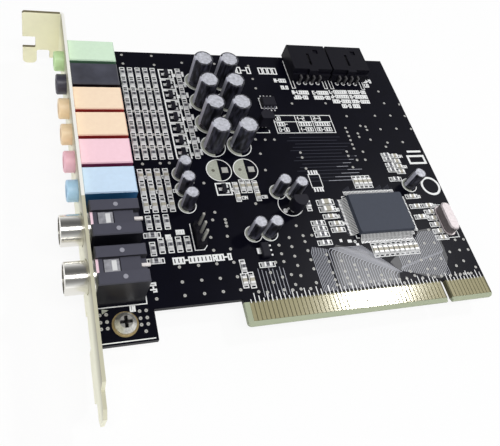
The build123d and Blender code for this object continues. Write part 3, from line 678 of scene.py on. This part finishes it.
def chipRoom():
    # room past each chip's ends: half the free way to the nearest chip in line with it, within the settings
    row = np.arange(len(chipLow))
    size = (chipHigh - chipLow)[:, :2]
    apart = np.abs(chipMiddle[:, None] - chipMiddle[None])
    along = apart[row, :, chipLong]
    aside = apart[row, :, 1 - chipLong]
    free = along - (size[row, chipLong][:, None] + size[row[None], chipLong[:, None]]) / 2
    inLine = (aside < chip["lineAside"]) & (along > chip["lineApart"])
    nearest = np.where(inLine, free, chip["farAway"]).min(axis=1)
    return np.clip(nearest / 2, chip["boxLeast"], chip["boxAlong"])


def chipShapes(middle, longAxis, profile, aside):
    # at both ends of each chip a profile of (along, up) corners, carried across it from side to side
    columns = [np.broadcast_arrays(*parts, aside)[:-1] for parts in zip(*profile)]
    along, up = [np.stack(column, axis=1)[:, :, None] for column in columns]
    shapes = []
    for sign in (-1, 1):
        way = np.eye(2)[longAxis] * sign
        across = np.c_[-way[:, 1], way[:, 0]] * aside[:, None]
        flat = middle[:, None] + along * way[:, None]
        sides = [np.concatenate([flat + side * across[:, None], up], axis=2) for side in (-1, 1)]
        shapes += [stackedLoops(loops) for loops in np.stack(sides, axis=1)]
    return joined(*shapes)


room = chipRoom()
start = 0
for name, finishName, slotName in (("chip_resistors", "resistorGrey", "resistor_black"),
                                   ("chip_capacitors", "capacitorCeramic", "capacitor_ceramic")):
    low, high = chipParts[name]
    here = slice(start, start + len(low))
    start += len(low)
    makePiece(name + "_bodies", *boxes(low, high), finishName, slotName, (name,))
    # end caps a little proud of the body, pads that reach past them, and wedges of solder from cap to pad
    middle, longAxis, reach = chipMiddle[here], chipLong[here], room[here] * chip["padShare"]
    size, row = high - low, np.arange(len(low))
    length, aside = size[row, longAxis], size[row, 1 - longAxis] / 2 + chip["capProud"]
    inner, outer = length * (0.5 - chip["endShare"]), length / 2 + chip["capProud"]
    foot, top = low[:, 2], high[:, 2] + chip["capProud"]
    padInner, padOuter, padTop = inner - chip["padSide"], outer + reach, chip["padTop"]
    cap = ((inner, foot), (inner, top), (outer, top), (outer, foot))
    pad = ((padInner, 0.0), (padInner, padTop), (padOuter, padTop), (padOuter, 0.0))
    tip, rise = outer + reach * chip["solderReach"], size[:, 2] * chip["solderRise"]
    wedge = ((outer, 0.0), (outer, rise), (tip, padTop))
    makePiece(name + "_ends", *chipShapes(middle, longAxis, cap, aside), "leadTin", "lead_tin")
    makePiece(name + "_pads", *chipShapes(middle, longAxis, pad, aside + chip["padSide"]),
              "padTin", "lead_tin")
    makePiece(name + "_solder", *chipShapes(middle, longAxis, wedge, aside), "solder", "lead_tin")
    if name == "chip_resistors":
        # a dark blank field on each resistor
        spread = np.where(np.arange(2)[None] == longAxis[:, None], chip["markLong"], chip["markWide"])
        markLow = np.c_[middle - spread, high[:, 2] - chip["markSunk"]]
        markHigh = np.c_[middle + spread, high[:, 2] + chip["markHigh"]]
        makePiece("chip_marks", *boxes(markLow, markHigh), "markDark", "resistor_black")
print("chips done:", len(chipLow))


# Silk print

silk = dict(line=0.26, bold=0.44, mark=0.8, high=0.025, circleProud=0.02, fieldSunk=0.005, circleSteps=48,
            fieldSteps=24, letterWide=0.9, letterGap=0.4, label=1.4)
strokes = {
    "0": ["00 10 12 02 00"], "1": ["01 0.52 0.50"], "2": ["02 12 11 01 00 10"], "3": ["02 12 10 00", "01 11"],
    "4": ["02 01 11", "12 10"], "5": ["12 02 01 11 10 00"], "6": ["12 02 00 10 11 01"], "7": ["02 12 0.50"],
    "8": ["00 10 12 02 00", "01 11"], "9": ["00 10 12 02 01 11"], "C": ["12 02 00 10"],
    "R": ["00 02 12 11 01", "0.51 10"], "Q": ["00 10 12 02 00", "0.51 10"], "U": ["02 00 10 12"],
    "J": ["12 10 00 01"], "L": ["02 00 10"], "-": ["01 11"],
}


def textLines(text, x, y, height, turned=False):
    # plain designators in straight strokes on a grid two squares high, read along x or up y
    lines = []
    square = height / 2
    for place, letter in enumerate(text):
        for stroke in strokes[letter]:
            spots = [(float(spot[:-1]), float(spot[-1])) for spot in stroke.split()]
            at = np.array(spots) * square * (silk["letterWide"], 1.0)
            at[:, 0] += place * square * (silk["letterWide"] + silk["letterGap"])
            if turned:
                at = np.stack([-at[:, 1], at[:, 0]], axis=1)
            at = at + (x, y)
            lines.append(np.c_[at[:-1], at[1:]])
    return np.concatenate(lines)


def boxLines(x0, y0, x1, y1):
    # the four sides of a printed box
    corner = np.array([[x0, y0], [x1, y0], [x1, y1], [x0, y1], [x0, y0]])
    return np.c_[corner[:-1], corner[1:]]


def boxRound(name, asideX, asideY):
    # a printed box round a node's own
    low, high = boxOf(name)
    return boxLines(low[0] - asideX, low[1] - asideY, high[0] + asideX, high[1] + asideY)


lines, boldLines, circles, fills = [], [], [], []
margin = np.where(np.arange(2)[None] == chipLong[:, None], room[:, None], chip["boxAside"])
for (x0, y0), (x1, y1) in zip(chipLow[:, :2] - margin, chipHigh[:, :2] + margin):
    lines.append(boxLines(x0, y0, x1, y1))

# rings with a pale half for the capacitors and for two empty places, and a ring for the small regulator
halfRing = dict(large=0.85, small=0.62)
empty = dict(places=((-62.4, 49.8), (-53.6, 49.8)), ring=4.0, padAway=1.9, square=1.0, dot=0.55)
halfRings = [(x, y, radius + halfRing["large" if radius > capacitor["large"] else "small"])
             for x, y, radius in capacitorPlaces]
for x, y, radius in halfRings + [(x, y, empty["ring"]) for x, y in empty["places"]]:
    circles.append((x, y, radius, silk["line"]))
    fills.append(arcPoints(x, y, radius, 90.0, 270.0, silk["fieldSteps"]))
circles.append((stand["ringX"], stand["ringY"], stand["ring"], silk["line"]))

transistorPrint = dict(halfX=2.3, halfY=2.05, markFrom=0.9, markTo=1.9, markUp=1.75)
transistorMiddle = sum(islands("transistors"))[:, :2] / 2
halfSize = np.array([transistorPrint["halfX"], transistorPrint["halfY"]])
for x, y in transistorMiddle:
    boldLines.append(boxLines(*((x, y) - halfSize), *((x, y) + halfSize)))
    markY = y + transistorPrint["markUp"]
    lines.append([[x + transistorPrint["markFrom"], markY, x + transistorPrint["markTo"], markY]])

# the column of chips next to the capacitors: a line from each to a spare pad beside it
feed = dict(x=-68.1, near=0.2, start=0.6, right=-66.5, padBack=0.1)
feedY = [y for x, y in chipMiddle if abs(x - feed["x"]) < feed["near"]]
lines += [[[feed["x"] + feed["start"], y, feed["right"], y]] for y in feedY]

# table of settings with a header line, two column lines and plain figures
table = dict(left=-38.4, right=-16.5, low=64.0, high=71.6, header=68.8, columns=(-30.2, -24.0), text=1.5)
lines.append(boxLines(table["left"], table["low"], table["right"], table["high"]))
lines.append([[table["left"], table["header"], table["right"], table["header"]]])
lines += [[[x, table["low"], x, table["high"]]] for x in table["columns"]]
for x, texts in ((-37.5, ("J0", "000-", "0-00")), (-29.4, ("1-2", "00000", "1-000")),
                 (-23.2, ("2-3", "000000", "00-000"))):
    for y, text in zip((69.5, 67.0, 64.7), texts):
        lines.append(textLines(text, x, y, table["text"]))

# audio connectors: a side line and end marks
sideMark = dict(places=(-26.9, -13.9, -11.3, 1.7), wide=1.2, low=84.2, high=90.0)
lines.append([[-26.9, 84.0, -26.9, 97.5]])
for left in sideMark["places"]:
    right, low, high = left + sideMark["wide"], sideMark["low"], sideMark["high"]
    lines.append([[left, low, left, high], [left, low, right, low], [right, low, right, high]])

# plain designators in bold: rows at the audio connectors, then larger and smaller ones elsewhere
labelRows = (
    (-33.0, 87.0, "R-000"), (-31.2, 83.7, "0L0"), (-27.5, 81.5, "R-L0000"), (-19.5, 81.5, "C-00000"),
    (-27.5, 79.2, "J00-00"), (-19.5, 79.2, "R000-00"), (-12.5, 82.0, "L-00000R"), (-4.6, 82.0, "00000-00"),
    (-12.5, 79.8, "J-000000"), (-4.6, 79.8, "0-0000R0"), (-12.5, 77.5, "R00-0000"), (-4.6, 77.5, "00R-0000"),
    (-9.5, 75.3, "00-0"), (-5.0, 75.3, "000"), (3.6, 87.6, "R0-0"), (3.6, 85.4, "L0"),
    (-48.0, 90.8, "00-0", 2.8), (-37.9, 90.8, "0000", 2.8), (-82.0, 19.6, "000-000000", 1.7),
    (-70.6, 19.6, "R00-0", 1.7), (-95.4, 7.6, "U1", 1.2), (-88.0, 12.2, "J-0", 1.4, True),
    (-79.6, 28.6, "R00", 1.2), (-82.8, 27.4, "R0", 1.1),
)
for x, y, text, *more in labelRows:
    boldLines.append(textLines(text, x, y, *(more or [silk["label"]])))

# round and square plain fields near the far edge
circles.append((11.8, 40.6, 3.3, silk["mark"]))
markLines = [boxLines(8.0, 50.2, 14.4, 53.2), [[9.0, 55.2, 14.0, 55.2]]]

# socket outlines on the tail, the jumper's open box, the regulator's line and the crystal's box
lines.append([[-104.0, 9.2, -91.0, 9.2], [-91.0, 9.2, -91.0, 11.6], [-104.0, 0.0, -90.2, 0.0]])
lines.append([[-75.3, 31.6, -75.3, 23.2], [-75.3, 23.2, -72.6, 23.2], [-72.6, 23.2, -71.6, 24.4]])
lines.append([[-46.2, 64.2, -41.3, 64.2], [-46.2, 64.2, -46.2, 65.2], [-41.3, 64.2, -41.3, 65.2]])
fills.append(np.array([[-102.6, 7.6], [-100.9, 8.5], [-102.6, 8.9]]))
lines.append(boxRound("crystal_can", 0.6, 0.6))

# corners round the main chip with a mark by the first lead, and boxes round the small ones
chipCorner = dict(aside=0.5, length=0.9, dotAside=1.6, dot=0.35)
mainLow, mainHigh = boxOf("main_chip")
for sx, sy in ((-1, -1), (1, -1), (1, 1), (-1, 1)):
    x = (mainLow[0], mainHigh[0])[sx > 0] + sx * chipCorner["aside"]
    y = (mainLow[1], mainHigh[1])[sy > 0] + sy * chipCorner["aside"]
    lines.append([[x, y, x - sx * chipCorner["length"], y], [x, y, x, y - sy * chipCorner["length"]]])
circles.append((*(mainLow[:2] - chipCorner["dotAside"]), chipCorner["dot"], silk["line"]))
lines.append(boxRound("amplifier", 0.4, 0.3))
lines.append(boxLines(-32.8, 42.0, -28.9, 47.0))

# plain designators beside the parts: place from the part, and height
designator = dict(capacitor=(-0.4, 0.2, 1.1), transistor=(3.1, -1.0, 1.0), chip=(0.6, 0.0, 0.95),
                  chipFirst=20)
right, up, height = designator["capacitor"]
for index, name in enumerate(capacitorNames):
    x, y = boxOf(name)[1][:2]
    lines.append(textLines(f"C{index + 1}", x + right, y + up, height))
right, up, height = designator["transistor"]
for index, (x, y) in enumerate(transistorMiddle):
    lines.append(textLines(f"Q{index + 1}", x + right, y + up, height, True))
right, up, height = designator["chip"]
capacitorLow, capacitorHigh = chipParts["chip_capacitors"]
for index in range(0, len(capacitorLow), 2):
    x, y = capacitorHigh[index, 0], capacitorLow[index, 1]
    lines.append(textLines(f"C{designator['chipFirst'] + index}", x + right, y + up, height))

for name, group, width in (("silk_lines", lines, "line"), ("silk_bold", boldLines, "bold"),
                           ("silk_marks", markLines, "mark")):
    makePiece(name, *ribbons(group, silk[width], 0.0, silk["high"]), "silkWhite", "white_plastic")
circleTop = silk["high"] + silk["circleProud"]
circleShapes = [rings([(x, y)], radius + width / 2, radius - width / 2, 0.0, circleTop, silk["circleSteps"])
                for x, y, radius, width in circles]
makePiece("silk_circles", *joined(*circleShapes), "silkWhite", "white_plastic")
fieldShapes = [plate(outline, 0.0, silk["high"] - silk["fieldSunk"]) for outline in fills]
makePiece("silk_fields", *joined(*fieldShapes), "silkPale", "white_plastic")
print("silk print done:", len(lines) + len(boldLines), "groups of lines")


# Vias and bare pads

via = dict(outer=0.46, inner=0.12, high=0.036, segments=12)
viaGrids = (
    ((-80.7, -75.3, -70.0, -65.0), (18.6, 14.2, 10.3)),
    ((-70.0, -65.0), (26.9, 22.8)),
    ((-103.2, -101.6, -93.2, -91.5), (7.4, 5.5, 3.8)),
    ((-85.63, -83.09, -80.55, -78.01), (82.56, 73.26, 63.86, 59.16)),
    ((-64.4,), (32.4, 31.3, 30.2)),
    ((-12.0,), (57.0, 58.8, 60.6, 62.4, 64.2, 66.0)),
    ((-50.0,), (22.8, 20.0, 17.5)),
    ((-46.1,), (25.0, 22.0, 18.9, 15.9, 12.7)),
    ((-41.4,), (25.3, 23.3, 20.3, 17.3, 14.4)),
    ((-35.8,), (18.5, 16.2, 12.6, 10.4, 8.8)),
    ((-31.7,), (16.1, 12.7, 10.6, 8.7)),
    ((-27.9,), (14.4, 12.8, 10.5, 8.6)),
    ((-24.6,), (12.6, 10.7, 8.7)),
    ((3.7, 5.6, 7.4, 8.9, 10.4, 11.6), (8.0,)),
)
viaPlaces = [(x, y) for columns, rows in viaGrids for x in columns for y in rows]
# single ones: by the jacks and the top edge, at the far side, then above the contacts
viaPlaces += [
    (-92.3, 2.0), (-68.2, 32.5), (-68.2, 45.3), (-67.0, 35.0), (-53.5, 37.2), (-88.3, 10.2), (-86.2, 97.8),
    (-86.2, 93.8), (-76.0, 97.8), (-75.7, 93.6), (-65.8, 95.0), (-54.0, 95.0), (-41.3, 94.5), (-41.2, 88.2),
    (-41.2, 83.8), (-47.2, 61.5), (-43.8, 61.3), (-40.5, 61.3), (-47.0, 55.7), (-47.0, 49.3), (-85.7, 52.9),
    (-80.3, 53.0), (-77.5, 53.0),
    (-29.3, 77.0), (-16.0, 77.2), (-9.6, 71.3), (2.2, 71.5), (8.8, 71.6), (15.0, 71.4), (-5.7, 66.9),
    (-3.7, 66.5), (-3.7, 65.0), (2.0, 65.3), (8.8, 65.5), (15.0, 65.3), (-8.0, 63.5), (-8.0, 62.0),
    (-4.0, 60.7), (8.8, 59.4), (2.4, 59.3), (1.0, 57.5), (-9.0, 55.6), (-15.3, 55.8), (-15.3, 54.0),
    (-12.6, 52.2), (-9.4, 52.2), (-15.3, 49.3), (-32.7, 55.8), (-32.7, 53.8), (-32.7, 49.4), (8.6, 77.5),
    (15.0, 77.0), (8.5, 83.3),
    (-42.6, 28.8), (-38.5, 25.2), (-42.0, 10.1), (-48.9, 13.3), (-48.5, 10.2), (-49.8, 8.7), (-47.3, 8.7),
    (-44.3, 8.5), (-52.6, 17.5), (-51.8, 12.8), (-55.0, 14.5), (-55.0, 11.5), (-57.5, 8.8), (-60.0, 9.2),
    (-52.4, 9.0), (-20.2, 10.4), (-20.4, 8.8), (-17.7, 8.8), (-14.7, 8.5), (-12.1, 8.5), (-13.5, 7.2),
    (-9.9, 10.6), (-0.6, 19.5), (3.1, 19.4), (3.1, 24.1), (-0.9, 14.0), (2.9, 13.8), (-4.4, 13.9),
    (-8.9, 13.8), (-3.5, 10.8), (-0.8, 10.7), (-9.0, 9.1), (-4.2, 8.9), (-6.5, 8.1), (-2.3, 8.0), (0.3, 8.1),
    (7.3, 15.8), (11.3, 16.1), (14.6, 16.0), (10.9, 12.3), (7.4, 10.9), (14.3, 9.8), (11.4, 19.8),
    (14.7, 19.7),
]
makePiece("via_rings", *rings(viaPlaces, via["outer"], via["inner"], 0.0, via["high"], via["segments"]),
          "viaTin", "lead_tin")
makePiece("via_holes", *discs(viaPlaces, via["inner"], 0.0, via["high"] / 2, via["segments"]),
          "viaDip", "connector_black")
print("vias done:", len(viaPlaces))

# the two empty places have a square pad and a round dot each; other bare pads are (x, y, half x, half y)
barePad = dict(high=0.035, feed=(0.4, 1.1), chip=(0.3, 0.8))
padAway = np.array([empty["padAway"], 0.0])
squares, dots = np.array(empty["places"]) + padAway, np.array(empty["places"]) - padAway
makePiece("empty_pads", *pads(squares - empty["square"], squares + empty["square"], barePad["high"]),
          "viaTin", "lead_tin")
makePiece("empty_dots", *discs(dots, empty["dot"], 0.0, barePad["high"]), "viaDip", "lead_tin")
padSpots = [(feed["right"] - feed["padBack"], y, *barePad["feed"]) for y in feedY]
padSpots += [(x, y, *barePad["chip"]) for x in (-32.2, -31.2, -30.2, -29.4) for y in (41.2, 47.8)]
padSpots += [(-29.5, 22.7, 0.45, 0.5), (-26.6, 22.3, 0.7, 0.5), (-24.3, 21.0, 0.5, 0.4)]
padMiddle, padHalf = np.hsplit(np.array(padSpots), 2)
makePiece("bare_pads", *pads(padMiddle - padHalf, padMiddle + padHalf, barePad["high"]), "padTin", "lead_tin")

header = dict(footIn=0.4, radius=0.8, high=0.02)
pinFeet = []
for index in "12":
    low, high = islands("audio_connector_pins_" + index)
    pinFeet += np.c_[(low + high)[:, 0] / 2, low[:, 1] + header["footIn"]].tolist()
makePiece("header_pads", *discs(pinFeet, header["radius"], 0.0, header["high"]), "padTin", "lead_tin")
screwLand = rings([screwMiddle[:2]], screw["landOuter"], screw["landInner"], 0.0, screw["landHigh"],
                  screw["landSteps"])
makePiece("screw_land", *screwLand, "landGold", "lead_tin")

# pads under the leads of the main chip, the amplifier and the transistors
leadPad = dict(inward=0.3, outward=0.45, aside=0.03, high=0.03, share=0.55)
padShapes = []
for name, bodyName in (("main_chip_leads", "main_chip"), ("amplifier_leads", "amplifier"),
                       ("transistor_leads", None)):
    low, high = islands(name)
    longAxis = np.argmax((high - low)[:, :2], axis=1)
    row = np.arange(len(low))
    padLow, padHigh = low - leadPad["aside"], high + leadPad["aside"]
    if bodyName:
        nearest, farthest = low[row, longAxis], high[row, longAxis]
        outer = (nearest + farthest) / 2 > middleOf(bodyName)[longAxis]
        part = (farthest - nearest) * leadPad["share"]
        padLow[row, longAxis] = np.where(outer, farthest - part, nearest - leadPad["outward"])
        padHigh[row, longAxis] = np.where(outer, farthest + leadPad["outward"], nearest + part)
    else:
        padLow -= leadPad["inward"]
        padHigh += leadPad["inward"]
    padShapes.append(pads(padLow, padHigh, leadPad["high"]))
makePiece("lead_pads", *joined(*padShapes), "leadTin", "lead_tin")


# Copper fields and traces under the mask

trace = dict(width=0.17, fieldHigh=0.004, fieldStep=0.003, high=0.014)
copperFields = (
    [(-35.3, 7.2), (-14.6, 7.2), (-13.7, 11.4), (-16.2, 14.0), (-20.4, 16.1), (-22.7, 19.0), (-26.7, 19.9),
     (-31.7, 21.5), (-34.1, 18.8)],
    [(-13.4, 11.2), (-9.8, 10.4), (-4.5, 8.4), (-0.1, 7.4), (2.3, 8.4), (5.7, 14.2), (6.1, 22.4), (4.0, 24.6),
     (-1.3, 24.2), (-3.2, 20.5), (-12.9, 15.9), (-15.6, 14.2)],
)
fieldLayers = ((1.0, "fieldEdge", 2), (0.86, "maskedField", 1), (0.64, "fieldMiddle", 1))
for index, (share, finishName, count) in enumerate(fieldLayers):
    # plates drawn in towards their middles, so that the rims fade; only the first field is pale inside
    shapes = [np.mean(outline, axis=0) + share * (np.array(outline) - np.mean(outline, axis=0))
              for outline in copperFields[:count]]
    level = trace["fieldHigh"] + trace["fieldStep"] * index
    makePiece(f"copper_fields_{index + 1}", *joined(*[plate(outline, 0.0, level) for outline in shapes]),
              finishName, "solder_mask")


def stepped(pair, index):
    # a first value and a step to the value at that index
    return pair[0] + pair[1] * index


routes, faintRoutes = [], []
slant = 0.9  # how far a line goes aside and down where it turns

# level lines that fade into the mask: only the lower right ends show clearly
levelLine = dict(count=14, y=(44.4, 1.36), left=(-36.0, 1.3), right=(-17.0, 1.6), clear=(9.0, -1.2), gap=0.4)
for index in range(levelLine["count"]):
    y = stepped(levelLine["y"], index)
    right = stepped(levelLine["right"], index % 4)
    clear = right - max(0.0, stepped(levelLine["clear"], index))
    faintRoutes.append([(stepped(levelLine["left"], index % 3), y), (clear - levelLine["gap"], y)])
    if clear < right:
        routes.append([(clear, y), (right, y)])

# upright bundle from the chips at the left down to the contacts
bundle = dict(count=10, x=(-40.5, 0.5), foot=7.3, turn=(19.4, -0.1), top=(21.3, -0.12))
for index in range(bundle["count"]):
    x, turn, top = [stepped(bundle[key], index) for key in ("x", "turn", "top")]
    routes.append([(x, bundle["foot"]), (x, turn), (x + slant, top)])

# fan under the main chip: each line runs left, turns down through a slant and ends above its contact
fan = dict(count=25, x=(-34.9, 0.82), y=(20.4, -0.4), reach=(-23.0, 0.42), least=1.6, foot=7.4)
for index in range(fan["count"]):
    x, y, reach = [stepped(fan[key], index) for key in ("x", "y", "reach")]
    run = [(reach, y), (x + slant, y)] if reach > x + fan["least"] else []
    routes.append(run + [(x, y - slant), (x, fan["foot"])])

# right-hand field: lines from the lower leads and the chip's end, with a slant halfway
field = dict(count=26, x=(-11.6, 0.66), top=(15.9, 0.46), topMost=23.6, turn=(12.6, 0.16), foot=(11.0, -0.14),
             footLeast=8.2)
for index in range(field["count"]):
    x, top, turn, foot = [stepped(field[key], index) for key in ("x", "top", "turn", "foot")]
    routes.append([(x, min(top, field["topMost"])), (x, turn), (x - slant, turn - slant),
                   (x - slant, max(field["footLeast"], foot))])

# short upright lines at the near end of the contacts
upright = dict(count=8, x=(-58.5, 1.1), top=(16.0, -0.5), foot=7.6)
for index in range(upright["count"]):
    x = stepped(upright["x"], index)
    routes.append([(x, stepped(upright["top"], index % 3)), (x, upright["foot"])])

# faint lines away from the main chip's left and upper leads, of several lengths
leadLine = dict(gap=1.0, left=(2.0, 0.35), up=(1.8, 0.3))
leadMiddle = sum(islands("main_chip_leads"))[:, :2] / 2
for index, (x, y) in enumerate(leadMiddle[leadMiddle[:, 0] < mainLow[0]]):
    faintRoutes.append([(x - leadLine["gap"], y), (x - stepped(leadLine["left"], index % 5), y)])
for index, (x, y) in enumerate(leadMiddle[leadMiddle[:, 1] > mainHigh[1]]):
    faintRoutes.append([(x, y + leadLine["gap"]), (x, y + stepped(leadLine["up"], index % 6))])
for name, finishName, group in (("traces", "maskedTrace", routes),
                                ("faint_traces", "faintTrace", faintRoutes)):
    routeLines = [np.c_[route[:-1], route[1:]] for route in group]
    makePiece(name, *ribbons(routeLines, trace["width"], 0.0, trace["high"]), finishName, "solder_mask")
print("traces done:", len(routes))


# Solder joints on the far side

joint = dict(radius=0.85, height=0.75, rings=4, segments=10, tip=0.05, large=1.25, small=0.75, crystal=2.45,
             jack=((-102.0, 0.0), (-98.5, -2.6), (-98.5, 2.6), (-93.0, -2.6), (-93.0, 2.6)),
             socket=((-101.0, 0.0), (-95.0, -3.8), (-95.0, 3.8)))


def solderDomes(places, base):
    # half ellipsoids hanging from the board's far face: radius and depth follow a quarter circle
    turn = np.linspace(np.pi / 2, 0, joint["rings"] + 1)
    profile = np.c_[joint["radius"] * np.maximum(np.cos(turn), joint["tip"]), -joint["height"] * np.sin(turn)]
    return joined(*[lathe(profile, (x, y, base), joint["segments"]) for x, y in places])


jointPlaces = list(pinFeet) + standFeet
for x, y, radius in capacitorPlaces:
    reach = joint["large" if radius > capacitor["large"] else "small"]
    jointPlaces += [(x - reach, y), (x + reach, y)]
for spots, names in ((joint["jack"], jackNames), (joint["socket"], digitalNames)):
    jointPlaces += [(x, middleOf(name)[1] + aside) for name in names for x, aside in spots]
for name in ("jumper_pins", "standing_regulator_leads"):
    jointPlaces += (sum(islands(name))[:, :2] / 2).tolist()
x, y = middleOf("crystal_can")[:2]
jointPlaces += [(x - joint["crystal"], y), (x + joint["crystal"], y)]
makePiece("solder_joints", *solderDomes(jointPlaces, boardLow[2]), "solder", "lead_tin")
print("solder joints done:", len(jointPlaces))


# Studio: floor, world, lamps and camera

studio = dict(floorSize=4.0, floorDrop=0.00005, floorWhite=0.9, floorRoughness=0.9, whiteShare=0.9,
              skyLow=1.5, skyHigh=0.12, skyColour=(0.97, 0.98, 1.0, 1.0),
              keyPlace=(-0.075, -0.14, 0.59), keySize=(0.14, 0.5), keyPower=2.15,
              glarePlace=(0.3, 0.18, 0.47), glareSize=(0.05, 0.05), glarePower=0.9,
              aim=(-0.045, 0.05, 0.0))


def floorFinish():
    # white to the camera and in reflections, but a part of it stays lit, so it keeps the shadow
    material, tree, shader = startFinish("paleFloor", studio["floorRoughness"])
    shader.inputs["Base Color"].default_value = (studio["floorWhite"],) * 3 + (1.0,)
    glow = addNode(tree, "ShaderNodeEmission")
    glow.inputs["Strength"].default_value = 1.0
    ray = addNode(tree, "ShaderNodeLightPath")
    seen = mathNode(tree, "MAXIMUM", ray.outputs["Is Camera Ray"], ray.outputs["Is Glossy Ray"])
    seen = mathNode(tree, "MAXIMUM", seen, ray.outputs["Is Transmission Ray"])
    mix = addNode(tree, "ShaderNodeMixShader")
    tree.links.new(mathNode(tree, "MULTIPLY", seen, studio["whiteShare"]), mix.inputs[0])
    tree.links.new(shader.outputs[0], mix.inputs[1])
    tree.links.new(glow.outputs[0], mix.inputs[2])
    tree.links.new(mix.outputs[0], tree.nodes["Material Output"].inputs["Surface"])
    return material


half = studio["floorSize"] / 2
floorLevel = float(cadBounds[0][2]) - studio["floorDrop"]
floorMesh = bpy.data.meshes.new("floor")
floorMesh.from_pydata([(-half, -half, floorLevel), (half, -half, floorLevel), (half, half, floorLevel),
                       (-half, half, floorLevel)], [], [(0, 1, 2, 3)])
floorMesh.materials.append(floorFinish())
floor = bpy.data.objects.new("floor", floorMesh)
bpy.context.scene.collection.objects.link(floor)


def studioSky():
    # bright near the horizon and darker overhead: the level falls with the square of the height's complement
    world = bpy.data.worlds.new("studioWorld")
    bpy.context.scene.world = world
    world.use_nodes = True
    tree = world.node_tree
    backdrop = tree.nodes["Background"]
    backdrop.inputs["Color"].default_value = studio["skyColour"]
    place = addNode(tree, "ShaderNodeTexCoord")
    height = mathNode(tree, "MAXIMUM", axesOf(tree, place.outputs["Generated"])["Z"], 0.0)
    lower = mathNode(tree, "SUBTRACT", 1.0, height)
    square = mathNode(tree, "MULTIPLY", lower, lower)
    span = mathNode(tree, "MULTIPLY", square, studio["skyLow"] - studio["skyHigh"])
    tree.links.new(mathNode(tree, "ADD", span, studio["skyHigh"]), backdrop.inputs["Strength"])


def softLamp(name, place, size, power):
    # oblong area lamp that faces the card
    lamp = bpy.data.lights.new(name, "AREA")
    lamp.shape = "RECTANGLE"
    lamp.size, lamp.size_y = size
    lamp.energy = power
    holder = bpy.data.objects.new(name, lamp)
    holder.location = place
    away = np.array(place) - np.array(studio["aim"])
    turn = math.atan2(away[1], away[0])
    tilt = math.acos(away[2] / np.linalg.norm(away))
    holder.rotation_euler = Euler((0.0, tilt, turn), "XYZ")
    bpy.context.scene.collection.objects.link(holder)


studioSky()
for name in ("key", "glare"):
    softLamp(name + "Lamp", studio[name + "Place"], studio[name + "Size"], studio[name + "Power"])

view = dict(place=(-0.12108, -0.0453, 0.13858), turn=(33.885, -14.497, -12.505), lens=41.765,
            shiftX=0.06761, shiftY=-0.05528, sensor=36.0, nearest=0.005)
cameraData = bpy.data.cameras.new("photoCamera")
cameraData.sensor_fit = "HORIZONTAL"
cameraData.sensor_width = view["sensor"]
cameraData.lens = view["lens"]
cameraData.shift_x = view["shiftX"]
cameraData.shift_y = view["shiftY"]
cameraData.clip_start = view["nearest"]
camera = bpy.data.objects.new("photoCamera", cameraData)
camera.location = view["place"]
camera.rotation_euler = Euler([math.radians(angle) for angle in view["turn"]], "XYZ")
bpy.context.scene.collection.objects.link(camera)
bpy.context.scene.camera = camera
bpy.context.scene.view_settings.view_transform = "Standard"
print("studio done")

bpy.context.view_layer.update()
